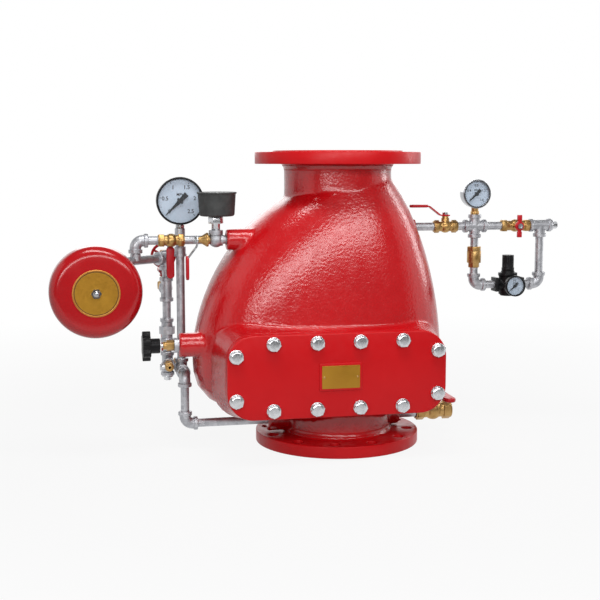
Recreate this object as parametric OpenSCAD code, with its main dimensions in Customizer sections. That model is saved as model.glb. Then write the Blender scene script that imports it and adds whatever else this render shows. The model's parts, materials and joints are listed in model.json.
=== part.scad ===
// Dry-type sprinkler alarm valve with its trim: a flanged casting with a bolted hand-hole cover,
// a swinging clapper, alarm trim with a water motor gong on the left and air trim on the right.
// Origin at the centre of the lower flange face, +Z along the flow, hand-hole towards -Y.

/* [Flanges] */
// Outside diameter of both flanges
flange_od = 340; // [325:1:360]
// Thickness of a flange behind its raised face
flange_t = 24; // [18:1:30]
// Diameter of the bolt circle
flange_pcd = 295; // [288:1:305]
// Number of bolt holes in a flange
flange_holes = 12; // [8:4:16]
// Diameter of a bolt hole
flange_hole_d = 22; // [18:0.5:24]
// Diameter of the raised face
raised_face_d = 266; // [250:1:272]
// Height of the raised face
raised_face_h = 3; // [2:0.5:5]
// Diameter of the waterway
bore_d = 200; // [190:1:206]

/* [Casting] */
// Height from flange face to flange face
body_h = 606; // [590:1:640]
// Wall thickness of the casting
wall = 12; // [8:0.5:15]
// Outside diameter of the two necks
neck_od = 220; // [216:1:236]
// Fillet between neck and flange
neck_fillet = 10; // [4:1:16]
// Height of the widest section
belly_z = 187; // [180:1:195]
// Reach of the belly to the left of the valve axis
belly_left = 303; // [295:1:312]
// Reach of the belly to the right of the valve axis
belly_right = 216; // [210:1:224]
// Half depth of the belly
belly_depth = 156; // [148:1:160]
// Height over which the left flank closes above the widest section
flank_left = 359; // [350:1:370]
// Height over which the right flank closes
flank_right = 437; // [428:1:450]
// Height over which the front and back close
flank_depth = 430; // [410:1:460]
// Depth of the belly below its widest section
belly_drop = 129; // [124:1:134]

/* [Hand-hole] */
// Width of the cover
cover_w = 434; // [420:1:445]
// Height of the cover
cover_h = 164; // [158:1:170]
// Corner radius of the cover
cover_r = 52; // [44:1:58]
// Thickness of the cover
cover_t = 16; // [12:1:20]
// Thickness of the gasket
gasket_t = 3; // [2:0.5:5]
// Distance of the frame face in front of the valve axis
frame_face = 171; // [168:1:180]
// Rim of the frame between the opening and its outer edge
frame_rim = 36; // [34:1:40]
// Widening of the frame where it meets the belly
frame_draft = 18; // [10:1:26]
// Place of the cover centre along X
cover_x = -42; // [-46:1:-38]
// Height of the cover centre
cover_z = 175.5; // [172:0.5:180]
// Pitch of the bolts along the top and bottom rows
bolt_pitch = 85.2; // [80:0.2:90]
// Distance of the cover bolts in from the edge
bolt_edge = 17.5; // [15:0.5:19]
// Half the spacing of the two bolts on each short side
side_bolt_half = 42.8; // [38:0.2:46]
// Thread diameter of the cover bolts
cover_bolt_d = 16; // [12:1:18]

/* [Clapper] */
// Distance of the hinge from the valve axis
hinge_x = 165; // [158:1:175]
// Height of the hinge above the lower flange face
hinge_z = 130; // [127:1:140]
// Diameter of the hinge pin
hinge_pin_d = 16; // [12:1:18]
// Height of the seat rim
seat_z = 97; // [95:1:102]
// Diameter of the clapper disc
clapper_d = 224; // [218:1:232]
// Thickness of the clapper disc at its edge
clapper_t = 13; // [10:1:18]
// Thickness of the rubber seal
seal_t = 6; // [4:0.5:8]

/* [Trim pipe] */
// Outside diameter of the trim pipe
pipe_od = 17.2; // [16:0.1:18]
// Inside diameter of the trim pipe
pipe_id = 12.6; // [11:0.1:13.5]
// Diameter of a fitting between its bands
fitting_d = 23; // [21.5:0.5:24]
// Diameter of the band at the mouth of a fitting
band_d = 28; // [26:0.5:28]
// Length of that band
band_l = 8; // [5:0.5:10]
// Distance from the centre of a fitting to its mouth
reach = 25; // [24:0.5:26]
// Depth to which a pipe is screwed in
grip = 11; // [9:0.5:12]
// Radius of the bend of an elbow
bend_r = 15; // [12.5:0.5:15.5]

/* [Ball valves] */
// Length of a small ball valve
ball_valve_l = 53; // [50:1:56]
// Length of the bypass valve
bypass_valve_l = 65; // [62:1:68]
// Width across flats of the hexagon ends
valve_hex = 24; // [22:0.5:26]
// Diameter of the ball
ball_d = 18; // [16:0.5:19]
// Diameter of the valve stem
stem_d = 8; // [6:0.5:9]
// Height of the bonnet above the flow axis
bonnet_h = 22; // [20:0.5:24]
// Length of a lever from its stem
lever_l = 78; // [70:1:84]
// Width of a lever grip
lever_w = 16; // [12:1:18]
// Thickness of the lever strap
lever_t = 3; // [2:0.5:4]
// Size of the main drain valve against the small ones
drain_scale = 1.5; // [1.4:0.05:1.6]

/* [Gauges] */
// Diameter of the water gauge
water_gauge_d = 97; // [90:1:104]
// Diameter of the air gauge
air_gauge_d = 62; // [56:1:66]
// Diameter of the regulator gauge
regulator_gauge_d = 45; // [40:1:48]

/* [Gong] */
// Diameter of the bell
bell_d = 179; // [170:1:190]
// Depth of the bell
bell_depth = 45; // [40:1:50]
// Thickness of the bell metal
bell_t = 3; // [2:0.5:4]
// Diameter of the water motor housing
motor_d = 108; // [100:1:116]

/* [Pressure switch] */
// Diameter of the switch housing at its top lip
switch_d = 80; // [72:1:86]
// Height of the switch housing
switch_h = 49; // [44:1:54]

/* [Trim layout] */
// Height of the upper boss and the switch valve
switch_line_z = 430; // [425:1:435]
// Height of the lower boss and the needle valve
needle_line_z = 220; // [216:1:224]
// Distance of both bosses in front of the valve axis
boss_front = 40; // [38:1:44]
// Height of the gong supply line
gong_line_z = 427; // [424:1:430]
// Height of the header pipe that feeds the gong
header_z = 387; // [385:1:389]
// Distance of the gauge pipe from the valve axis
gauge_pipe_x = 321; // [319:1:322]
// Distance of the test pipe from the valve axis
test_pipe_x = 349; // [349:1:351]
// Height of the air line on the right
air_line_z = 446; // [442:1:450]
// Distance of the air line behind the valve axis
air_line_back = 30; // [26:1:34]
// Height of the regulator line on the right
regulator_line_z = 319; // [314:1:322]
// Height of the drain ports in the lower neck
drain_z = 54; // [52:1:56]

/* [Hidden] */
$fn = 64;

// Clearances
run_clear = 0.05;
seat_clear = 0.05;
free_clear = 0.3;
pocket_clear = 0.25;
stem_through = 20;
cut = 1;

// Unit directions
right = [1, 0, 0];
left = [-1, 0, 0];
back = [0, 1, 0];
front = [0, -1, 0];
up = [0, 0, 1];
down = [0, 0, -1];

// Casting
neck_wall = 8;
neck_r = max(neck_od, bore_d + 2 * neck_wall) / 2;
hole_edge = 8;
rim_of_flange = max(flange_od, flange_pcd + flange_hole_d + 2 * hole_edge);
// The outlet's holes are drilled to the upper end of the bolt hole tolerance
outlet_hole_extra = 0.4;
flange_back = raised_face_h + flange_t;
upper_power = 1.8;
depth_power = 2.4;
lower_power = 3;
plan_power = 2.4;
belly_sides = 40;
belly_low_rings = 6;
belly_high_rings = 12;
belly_low_sweep = 80;
belly_top = belly_z + flank_left;
belly_least = 20;

// Hand-hole
opening_w = cover_w - 2 * frame_rim;
opening_h = cover_h - 2 * frame_rim;
opening_r = 22;
frame_root = 92;
cover_face = frame_face + gasket_t + cover_t;
bolt_hole_d = cover_bolt_d + 1.5;
bolt_head = 1.5 * cover_bolt_d;
bolt_head_h = 0.65 * cover_bolt_d;
bolt_depth = 26;
bolt_row = cover_h / 2 - bolt_edge;
bolt_column = cover_w / 2 - bolt_edge;
cover_bolt_points = concat(
    [for (k = [-1.5 : 1.5], s = [-1, 1]) [cover_x + k * bolt_pitch, cover_z + s * bolt_row]],
    [for (k = [-1, 1], s = [-1, 1]) [cover_x + k * bolt_column, cover_z + s * side_bolt_half]]
);

// Seat and clapper
pad_top = 88;
pad_d = bore_d + 56;
seat_d = bore_d + 26;
seat_depth = 18;
seat_bore = bore_d - 4;
seat_sleeve_d = seat_bore + 12;
seat_flange_h = 2;
seat_wall = 5;
rim_d = bore_d + 16;
disc_overlap = 4;
disc_d = max(clapper_d, rim_d + 2 * disc_overlap);
seal_bottom = seat_z + free_clear;
disc_bottom = seal_bottom + seal_t;
disc_top = disc_bottom + clapper_t;
plate_t = 4;
plate_d = seat_bore - 8;
seal_id = plate_d - 10;
seal_od = disc_d - 2;
clapper_crown = 8;
clapper_room = 6;
clapper_boss_d = 50;
clapper_boss_top = disc_top + clapper_crown + 4;
clapper_bolt_d = 16;
clapper_bolt_hex = 24;
hub_d = hinge_pin_d + 18;
hub_half = 28;
arm_w = 14;
ear_inner = hub_half + 2;
ear_t = 14;
ear_outer = ear_inner + ear_t;
bracket_w = 54;
bracket_t = 8;
hinge_pin_head = 4;

// Ports in the casting
boss_d = 42;
boss_end = 238;
needle_boss_d = 49;
needle_boss_end = 335;
line_boss_d = 34;
line_boss_end = 226;
air_boss_d = 36;
air_boss_end = 176;
drain_boss_end = 133;
drain_boss_d = 50;
return_boss_end = 152;
return_boss_d = 46;
return_front = 15;
port_run = 70;

// Switch line
switch_x = 258;
p_switch = [-switch_x, -boss_front, switch_line_z];
angle_body_d = 31;
angle_top = 19;
angle_ball_d = 16;
angle_bonnet_d = 28;
angle_bonnet_from = 13.5;
angle_bonnet_to = 35.5;
angle_bonnet_neck = 12;
switch_lever_rise = 20;
bonnet_cone_h = angle_bonnet_to - angle_body_d / 2;
switch_hex = 26;
switch_hex_from = angle_top + 13;
switch_base_h = 13;
switch_from = switch_hex_from + switch_base_h;
switch_lip = 5;
switch_wall = 3;
switch_foot_d = 66;
switch_foot_r = 6;
switch_belt_d = 75;

// Gong line and stand pipes
gong_valve_x = 343;
p_gong_valve = [-gong_valve_x, 0, gong_line_z];
gong_elbow_x = 414.5;
p_gong_elbow = [-gong_elbow_x, 0, gong_line_z];
test_pipe_y = 56;
p_header_tee = [-test_pipe_x, test_pipe_y, header_z];
p_test_tee = [-test_pipe_x, test_pipe_y, 322];
p_union = [-test_pipe_x, test_pipe_y, 237];
p_cock_tee = [-test_pipe_x, test_pipe_y, 167];
gauge_pipe_y = 42;
p_return_tee = [-gauge_pipe_x, gauge_pipe_y, 155];
p_coupling = [-gauge_pipe_x, gauge_pipe_y, 401];
coupling_half = 10;
p_gauge_socket = [-gauge_pipe_x, gauge_pipe_y, 437];
gauge_socket_half = 11;
gauge_socket_d = 21;
p_return_elbow = [-gauge_pipe_x, -return_front, p_return_tee.z];
p_drain_elbow = [-gauge_pipe_x, -return_front, drain_z];
header_run = p_gong_elbow - p_header_tee;
header_dir = [header_run.x, header_run.y, 0] / norm([header_run.x, header_run.y, 0]);
p_header_branch = [p_gong_elbow.x, p_gong_elbow.y, header_z];
saddle_d = pipe_od + 4;
saddle_h = 13;
valve_gap = 4;
p_test_valve = p_test_tee + back * (reach + valve_gap + ball_valve_l / 2);
p_return_valve = p_return_tee + back * (reach + valve_gap + ball_valve_l / 2);
union_hex = 34;
union_hex_l = 16;

// Wheel valve behind the header tee
wheel_valve_from = reach;
wheel_valve_l = 22;
wheel_valve_d = 26;
wheel_bonnet_d = 17;
wheel_bonnet_l = 9;
wheel_d = 54;
wheel_rim_d = 6;
wheel_hub_d = 14;
wheel_hub_l = 8;
wheel_stem_d = 7;
wheel_stem_l = 16;

// Drain cock in front of the cock tee
cock_d = 19;
cock_l = 24;
cock_key_at = 13;
cock_key_d = 9;
cock_bore = 5;
cock_nozzle_d = 12;
cock_nozzle_l = 7;
cock_key_out = 15;
cock_wing = [4, 15, 8];

// Needle valve on the lower boss
p_needle = [-needle_boss_end, -boss_front, needle_line_z];
bushing_d = 30;
bushing_l = 9;
needle_body_l = 22;
needle_hex = 19;
needle_spigot_d = 13;
needle_stem_d = 8;
needle_knob_from = bushing_l + needle_body_l + 6;
needle_hub_d = 30;
needle_hub_l = 19;
needle_star_d = 48;
needle_star_l = 16;
needle_lobes = 6;
needle_lobe_d = 16;

// Air line
air_valve_x = 245;
cross_x = 311.5;
air_tee_x = 461.5;
p_air_valve = [air_valve_x, air_line_back, air_line_z];
p_cross = [cross_x, air_line_back, air_line_z];
p_air_tee = [air_tee_x, air_line_back, air_line_z];
p_bypass_valve = [air_tee_x - reach - bypass_valve_l / 2, air_line_back, air_line_z];
p_loop_left = [cross_x, air_line_back, regulator_line_z];
p_loop_right = [air_tee_x, air_line_back, regulator_line_z];
p_regulator = [390, air_line_back, regulator_line_z];
check_from = 38;
check_foot_l = 10;
check_belly_l = 25;
check_head_l = 10;
check_l = check_foot_l + check_belly_l + check_head_l;
check_foot_hex = 22;
check_belly_d = 30;
check_head_hex = 27;
poppet_d = 17;
poppet_h = 6;
poppet_seat = 15;
poppet_room = 13;
p_check = p_loop_left + up * check_from;
lever_nut_hex = 11;
lever_nut_h = 4.5;
handle_l = 48;
handle_w = 10;
handle_t = 6;
handle_hub_d = 20;

// Regulator
regulator_half = 32.5;
regulator_d = 38;
regulator_low = 25;
regulator_high = 18;
regulator_arm_d = 25;
regulator_flange = 30;
regulator_flange_t = 8;
regulator_ring_d = 41;
regulator_ring_h = 7;
regulator_neck_d = 29;
regulator_neck_h = 4;
regulator_knob_d = 25;
regulator_knob_h = 34;
regulator_knob_ribs = 20;
regulator_front = 22;
regulator_pad_d = 22;

// Drain valve
drain_pipe_od = pipe_od * drain_scale;
drain_pipe_id = pipe_id * drain_scale;
drain_grip = grip * drain_scale;
drain_valve_x = 212.5;
p_drain_valve = [drain_valve_x, 0, drain_z];

// Gauges: dial faces forward, stem down or at the back
gauge_rim = 4;
lens_ledge = 1.4;
lens_t = 2;
dial_t = 1;
dial_depth = 10;
pointer_lift = 1.2;
pointer_t = 1;
pointer_hub_h = 2.4;
blade_lift = 0.6;
pointer_pin_d = 2.4;
pointer_pin_l = 6;
pointer_zero = 225;
water_gauge_depth = 34;
water_gauge_rise = 8;
water_stem_d = 16;
air_gauge_depth = 28;
air_gauge_rise = 13;
air_stem_d = 15;
regulator_gauge_depth = 17;
regulator_gauge_stem = 8;
regulator_stem_d = 11;
stem_spigot = pipe_od;
p_water_gauge = p_gauge_socket + up * (gauge_socket_half + water_gauge_rise + water_gauge_d / 2)
    + front * water_gauge_depth / 2;
p_air_gauge = p_cross + up * (reach + air_gauge_rise + air_gauge_d / 2) + front * air_gauge_depth / 2;
p_regulator_gauge = p_regulator
    + front * (regulator_front + regulator_gauge_stem + regulator_gauge_depth);

// Gong
p_gong = [-496, -60, 335];
motor_front = -6;
motor_lid = 12;
motor_lid_step = 15;
motor_lid_boss = 3;
motor_l = 38;
motor_wall = 4;
motor_chamber_from = motor_front - motor_l + motor_wall + 2;
motor_chamber_to = motor_front + motor_lid - motor_wall;
motor_inlet_d = 29;
motor_inlet_from = 120;
motor_inlet_l = 62;
spindle_d = 10;
spindle_collar_d = 22;
spindle_collar_l = 6;
bell_nut_hex = 17;
bell_nut_h = 7;
rotor_sleeve_d = 18;
rotor_hub_d = 28;
rotor_blades = 8;
rotor_blade_t = 3;
striker_r = 68;
striker_t = 4;
striker_w = 14;
hammer_d = 20;
hammer_l = 14;
bell_shoulder = 16;
bell_bead = 6;

// Placing helpers
module place(c, fx, fz) {
    fy = cross(fz, fx);
    multmatrix([
        [fx.x, fy.x, fz.x, c.x],
        [fx.y, fy.y, fz.y, c.y],
        [fx.z, fy.z, fz.z, c.z],
        [0, 0, 0, 1]
    ]) children();
}

module along(v) {
    rotate([0, acos(v.z / norm(v)), atan2(v.y, v.x)]) children();
}

module rod(d, from, to) {
    translate([0, 0, from]) cylinder(d = d, h = to - from);
}

module hex(flats, from, to) {
    translate([0, 0, from]) cylinder(d = flats / cos(30), h = to - from, $fn = 6);
}

// Rounded rectangle about the origin
module rounded_rect(w, h, r) {
    square([w - 2 * r, h], center = true);
    square([w, h - 2 * r], center = true);
    for (x = [-1, 1], y = [-1, 1]) translate([x * (w / 2 - r), y * (h / 2 - r)]) circle(r = r);
}

// Plate in the XZ plane of the hand-hole, from its front face towards +Y
module handhole_plate(w, h, r, y, t) {
    translate([cover_x, y + t, cover_z]) rotate([90, 0, 0]) linear_extrude(t) rounded_rect(w, h, r);
}

module at_cover_bolts(y) {
    for (p = cover_bolt_points) translate([p.x, y, p.y]) rotate([-90, 0, 0]) children();
}

// Trim fittings
module band(v) {
    along(v) translate([0, 0, reach - band_l]) rotate_extrude() polygon([
        [0, 0], [band_d / 2 - 1, 0], [band_d / 2, 1], [band_d / 2, band_l - 1],
        [band_d / 2 - 1, band_l], [0, band_l]
    ]);
}

module mouth(v) {
    along(v) rod(pipe_od + 2 * seat_clear, reach - grip, reach + cut);
}

// Fitting with a mouth in each direction and a round heart
module branch_fitting(c, dirs) {
    translate(c) difference() {
        union() {
            sphere(d = fitting_d);
            for (v = dirs) {
                along(v) rod(fitting_d, 0, reach);
                band(v);
            }
        }
        for (v = dirs) {
            along(v) rod(pipe_id, 0, reach);
            mouth(v);
        }
        sphere(d = pipe_id);
    }
}

module bend(d) {
    translate([bend_r, bend_r, 0]) rotate([0, 0, 180]) rotate_extrude(angle = 90)
        translate([bend_r, 0]) circle(d = d);
}

module elbow(c, v1, v2) {
    place(c, v1, cross(v1, v2)) difference() {
        union() {
            bend(fitting_d);
            for (v = [right, back]) {
                along(v) rod(fitting_d, bend_r, reach);
                band(v);
            }
        }
        bend(pipe_id);
        for (v = [right, back]) {
            along(v) rod(pipe_id, bend_r, reach);
            mouth(v);
        }
    }
}

module pipe(from, to) {
    translate(from) along(to - from) difference() {
        cylinder(d = pipe_od, h = norm(to - from));
        translate([0, 0, -cut]) cylinder(d = pipe_id, h = norm(to - from) + 2 * cut);
    }
}

// Point where a pipe bottoms in a fitting, and in a valve of length l
function seat_of(c, v) = c + v * (reach - grip);
function valve_seat_of(c, v, l) = c + v * (l / 2 - grip);

// Ball valve: flow along X, stem along Z
module ball_valve_body(l) {
    end_l = grip + 1;
    difference() {
        union() {
            for (s = [right, left]) along(s) {
                hex(valve_hex, l / 2 - end_l, l / 2 - 2);
                rod(valve_hex - 1, l / 2 - 2, l / 2);
                rod(valve_hex - 3, 0, l / 2 - end_l);
            }
            sphere(d = ball_d + 9);
            rod(stem_d + 9, 0, bonnet_h - 4);
            rod(stem_d + 6, bonnet_h - 4, bonnet_h);
        }
        sphere(d = ball_d + 2 * free_clear);
        rod(stem_d + 2 * run_clear, 0, bonnet_h + cut);
        for (s = [right, left]) along(s) {
            rod(pipe_id - 2, 0, l / 2);
            rod(pipe_od + 2 * seat_clear, l / 2 - grip, l / 2 + cut);
        }
    }
}

// Bored ball on its stem
module ball_and_stem(d, top) {
    difference() {
        union() {
            sphere(d = d);
            rod(stem_d, 0, top + free_clear - seat_clear);
            rod(stem_d - 2, 0, top + free_clear + lever_t + 5);
        }
        along(right) translate([0, 0, -d]) cylinder(d = d / 2, h = 2 * d);
    }
}

module lever_nut(top) {
    difference() {
        translate([0, 0, top + free_clear + lever_t]) hex(lever_nut_hex, seat_clear, lever_nut_h);
        rod(stem_d - 2 + 2 * seat_clear, 0, top + stem_through);
    }
}

// Cranked lever: stem along Z, grip along X
module lever(top, rise) {
    bottom = top + free_clear;
    hub_r = 9;
    ramp_from = hub_r + 2;
    ramp_to = ramp_from + 6 + rise;
    sleeve = 1.5;
    difference() {
        intersection() {
            rotate([90, 0, 0]) translate([0, 0, -lever_w]) linear_extrude(2 * lever_w) polygon([
                [-hub_r, bottom], [ramp_from, bottom], [ramp_to, bottom + rise],
                [lever_l, bottom + rise], [lever_l, bottom + rise + lever_t],
                [ramp_to - 1, bottom + rise + lever_t], [ramp_from - 1, bottom + lever_t],
                [-hub_r, bottom + lever_t]
            ]);
            linear_extrude(top + rise + 3 * lever_t) {
                circle(r = hub_r);
                translate([0, -hub_r * 0.7]) square([ramp_to, 2 * hub_r * 0.7]);
                translate([ramp_from, -lever_w / 2 + 1])
                    square([lever_l - ramp_from - lever_w / 2, lever_w - 2]);
                translate([lever_l - lever_w / 2, 0]) circle(d = lever_w - 2);
            }
        }
        rod(stem_d - 2 + 2 * seat_clear, 0, top + stem_through);
    }
    translate([0, 0, bottom + rise - sleeve]) linear_extrude(lever_t + 2 * sleeve) {
        translate([ramp_to + 2, -lever_w / 2]) square([lever_l - ramp_to - lever_w / 2, lever_w]);
        translate([lever_l - lever_w / 2 + 2, 0]) circle(d = lever_w);
    }
}

// Gauge: dial towards +Z at the origin, 12 o'clock along +Y
module gauge_case(d, depth, bottom_d, bottom_l) {
    difference() {
        union() {
            rotate_extrude() polygon([
                [0, -depth], [d / 2 - 3, -depth], [d / 2 - 1.5, -depth + 2], [d / 2 - 1.5, -dial_depth],
                [d / 2, -dial_depth + 1], [d / 2, -1.5], [d / 2 - 1.5, 0], [0, 0]
            ]);
            if (bottom_l > 0) translate([0, -d / 2, -depth / 2]) along(front) {
                rod(bottom_d, -6, bottom_l - 7);
                hex(bottom_d + 1, bottom_l - 7, bottom_l);
                rod(stem_spigot, bottom_l, bottom_l + grip);
            }
        }
        rod(d - 2 * gauge_rim, -dial_depth, cut);
        rod(d - 2 * (gauge_rim - lens_ledge), -lens_t - 1, cut);
        rod(pointer_pin_d + 2 * run_clear, -dial_depth - pointer_pin_l, 0);
    }
}

module gauge_dial(d) {
    difference() {
        rod(d - 2 * gauge_rim - 2 * seat_clear, -dial_depth, -dial_depth + dial_t);
        rod(pointer_pin_d + 2, -dial_depth - cut, 0);
    }
}

module gauge_lens(d) {
    rod(d - 2 * (gauge_rim - lens_ledge) - 2 * seat_clear, -lens_t - 1, -1);
}

// Pointer at its zero mark, lower left
module gauge_pointer(d) {
    low = -dial_depth + dial_t + pointer_lift;
    tip = d / 2 - gauge_rim - 5;
    tail = d / 5;
    rod(pointer_pin_d, -dial_depth - pointer_pin_l + 1, low + pointer_hub_h / 2);
    rod(d / 16 + 1.5, low, low + pointer_hub_h);
    rotate([0, 0, pointer_zero]) translate([0, 0, low + blade_lift]) linear_extrude(pointer_t) polygon([
        [tip, 0.4], [0, d / 60 + 0.4], [-tail, d / 40 + 0.4],
        [-tail, -d / 40 - 0.4], [0, -d / 60 - 0.4], [tip, -0.4]
    ]);
}

// Casting
function closing(a, b, drop, z, power) = z >= belly_z
    ? a * pow(max(0, 1 - pow((z - belly_z) / b, power)), 1 / power)
    : a * pow(max(0, 1 - pow((belly_z - z) / drop, lower_power)), 1 / lower_power);

function rounded(c) = sign(c) * pow(abs(c), 2 / plan_power);

// Point of the belly at angle a and height z, w inside the outer face
function belly_point(a, z, w) = [
    rounded(cos(a)) * max(belly_least, cos(a) >= 0
        ? closing(belly_right - w, flank_right - w, belly_drop - w, z, upper_power)
        : closing(belly_left - w, flank_left - w, belly_drop - w, z, upper_power)),
    rounded(sin(a)) * max(belly_least,
        closing(belly_depth - w, flank_depth - w, belly_drop - w, z, depth_power)),
    z
];

module belly(w) {
    levels = concat(
        [for (k = [0 : belly_low_rings - 1])
            belly_z - (belly_drop - w) * sin(belly_low_sweep * (1 - k / belly_low_rings))],
        [for (k = [0 : belly_high_rings]) belly_z + (belly_top - w - belly_z) * k / belly_high_rings]
    );
    n = belly_sides;
    last = len(levels) - 1;
    points = [for (z = levels, k = [0 : n - 1]) belly_point(360 * k / n, z, w)];
    sides = [for (i = [0 : last - 1], k = [0 : n - 1], half = [0, 1])
        let (a = i * n + k, b = i * n + (k + 1) % n)
        half == 0 ? [a, a + n, b + n] : [a, b + n, b]];
    polyhedron(points, concat(
        [[for (k = [0 : n - 1]) k]], sides, [[for (k = [n - 1 : -1 : 0]) last * n + k]]
    ));
}

module flange_disc() {
    cylinder(d = raised_face_d, h = raised_face_h);
    rod(rim_of_flange, raised_face_h, flange_back);
    translate([0, 0, flange_back]) rotate_extrude() translate([neck_r - cut, 0]) difference() {
        square(neck_fillet + cut);
        translate([neck_fillet + cut, neck_fillet + cut]) circle(r = neck_fillet);
    }
}

module flange_bolt_holes(d) {
    for (k = [0 : flange_holes - 1]) rotate([0, 0, 360 * (k + 0.5) / flange_holes])
        translate([flange_pcd / 2, 0, 0]) rod(d, -cut, flange_back + neck_fillet);
}

module to_upper_flange() {
    translate([0, 0, body_h]) mirror([0, 0, 1]) children();
}

module cover_frame() {
    hull($fn = 32) {
        handhole_plate(cover_w, cover_h, cover_r, -frame_face, cut);
        handhole_plate(
            cover_w + 2 * frame_draft, cover_h + 2 * frame_draft, cover_r + frame_draft, -frame_root, cut
        );
    }
}

// Cast boss whose face stands at x, with its axis along X
module side_boss(x, y, z, d) {
    translate([x, y, z]) along(x > 0 ? left : right) cylinder(d = d, h = port_run);
}

module side_port(x, y, z, d_in, d_out, depth) {
    translate([x, y, z]) along(x > 0 ? left : right) {
        rod(d_out + 2 * seat_clear, -cut, depth);
        rod(d_in, 0, port_run + 2 * cut);
    }
}

// Inner floor that carries the seat ring and the hinge bracket
module inner_floor() {
    translate([0, 0, pad_top - port_run]) cylinder(d = pad_d, h = port_run);
    translate([-hinge_x - bracket_w / 2 - 6, -ear_outer - 6, pad_top - port_run])
        cube([bracket_w + 12, 2 * ear_outer + 12, port_run]);
}

module valve_body() color("firebrick") difference() {
    union() {
        flange_disc();
        to_upper_flange() flange_disc();
        rod(2 * neck_r, raised_face_h, body_h - raised_face_h);
        rod(disc_d + clapper_room + 2 * seat_wall, pad_top - seat_flange_h, disc_top);
        belly(0);
        cover_frame();
        side_boss(-boss_end, -boss_front, switch_line_z, boss_d);
        side_boss(-needle_boss_end, -boss_front, needle_line_z, needle_boss_d);
        side_boss(-line_boss_end, 0, gong_line_z, line_boss_d);
        side_boss(air_boss_end, air_line_back, air_line_z, air_boss_d);
        side_boss(drain_boss_end, 0, drain_z, drain_boss_d);
        side_boss(-return_boss_end, -return_front, drain_z, return_boss_d);
    }
    rod(bore_d, -cut, body_h + cut);
    difference() {
        belly(wall);
        inner_floor();
    }
    rod(seat_sleeve_d + 2 * pocket_clear, pad_top - seat_depth, pad_top + cut);
    rod(disc_d + clapper_room, pad_top, disc_top);
    handhole_plate(opening_w, opening_h, opening_r, -frame_face - cut, frame_face);
    at_cover_bolts(-frame_face - cut) cylinder(d = cover_bolt_d + 2 * seat_clear, h = bolt_depth + cut);
    flange_bolt_holes(flange_hole_d);
    to_upper_flange() flange_bolt_holes(flange_hole_d + outlet_hole_extra);
    side_port(-boss_end, -boss_front, switch_line_z, pipe_id, pipe_od, grip);
    side_port(-needle_boss_end, -boss_front, needle_line_z, pipe_id, pipe_od, grip);
    side_port(-line_boss_end, 0, gong_line_z, pipe_id, pipe_od, grip);
    side_port(air_boss_end, air_line_back, air_line_z, pipe_id, pipe_od, grip);
    side_port(drain_boss_end, 0, drain_z, drain_pipe_id, drain_pipe_od, drain_grip);
    side_port(-return_boss_end, -return_front, drain_z, pipe_id, pipe_od, grip);
}

module handhole_cover() color("red") difference() {
    handhole_plate(cover_w, cover_h, cover_r, -cover_face, cover_t);
    at_cover_bolts(-cover_face - cut) cylinder(d = bolt_hole_d, h = cover_t + 2 * cut);
}

module cover_gasket() color("dimgray") difference() {
    handhole_plate(cover_w, cover_h, cover_r, -frame_face - gasket_t, gasket_t);
    handhole_plate(opening_w, opening_h, opening_r, -frame_face - gasket_t - cut, gasket_t + 2 * cut);
    at_cover_bolts(-frame_face - gasket_t - cut) cylinder(d = bolt_hole_d, h = gasket_t + 2 * cut);
}

module cover_bolts() color("silver") at_cover_bolts(-cover_face) {
    intersection() {
        hex(bolt_head, -bolt_head_h, 0);
        rotate_extrude() polygon([
            [0, -bolt_head_h], [bolt_head * 0.48, -bolt_head_h],
            [bolt_head * 0.6, -bolt_head_h + bolt_head * 0.07], [bolt_head * 0.6, 0], [0, 0]
        ]);
    }
    cylinder(d = cover_bolt_d, h = cover_t + gasket_t + bolt_depth - 4);
}

module seat_ring() color("darkgoldenrod") rotate_extrude() polygon([
    [seat_bore / 2, pad_top - seat_depth], [seat_sleeve_d / 2, pad_top - seat_depth],
    [seat_sleeve_d / 2, pad_top], [seat_d / 2, pad_top], [seat_d / 2, pad_top + seat_flange_h],
    [rim_d / 2, pad_top + seat_flange_h + 1], [rim_d / 2 - 2, seat_z],
    [seat_bore / 2 + 4, seat_z], [seat_bore / 2, seat_z - 4]
]);

// Clapper arm from the hinge hub over the disc
module clapper_arm(y) {
    translate([0, y + arm_w, 0]) rotate([90, 0, 0]) linear_extrude(arm_w) polygon([
        [-hinge_x, hinge_z + hub_d / 2], [-hinge_x + hub_d, hinge_z + hub_d / 2 - 3],
        [clapper_boss_d, disc_top + clapper_crown / 2], [clapper_boss_d, disc_bottom + clapper_t / 2],
        [-disc_d / 2 + 4, disc_bottom + 2], [-hinge_x + hub_d / 2 + 4, hinge_z - hub_d / 2 + 2],
        [-hinge_x, hinge_z - hub_d / 2]
    ]);
}

module clapper() color("goldenrod") difference() {
    union() {
        rotate_extrude() polygon([
            [0, disc_bottom], [disc_d / 2, disc_bottom], [disc_d / 2, disc_top - 2],
            [disc_d / 2 - 2, disc_top], [disc_d / 3, disc_top + 1],
            [clapper_boss_d / 2 + 6, disc_top + clapper_crown], [clapper_boss_d / 2, clapper_boss_top],
            [0, clapper_boss_top]
        ]);
        clapper_arm(hub_half - arm_w);
        clapper_arm(-hub_half);
        translate([-hinge_x, hub_half, hinge_z]) rotate([90, 0, 0]) cylinder(d = hub_d, h = 2 * hub_half);
    }
    translate([-hinge_x, hub_half + cut, hinge_z]) rotate([90, 0, 0])
        cylinder(d = hinge_pin_d + 2 * run_clear, h = 2 * hub_half + 2 * cut);
    rod(clapper_bolt_d + 2 * seat_clear, disc_bottom - cut, clapper_boss_top + cut);
}

module clapper_seal() color("black") difference() {
    rod(seal_od, seal_bottom, disc_bottom);
    rod(seal_id + 2 * seat_clear, seal_bottom - cut, disc_bottom + cut);
}

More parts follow.
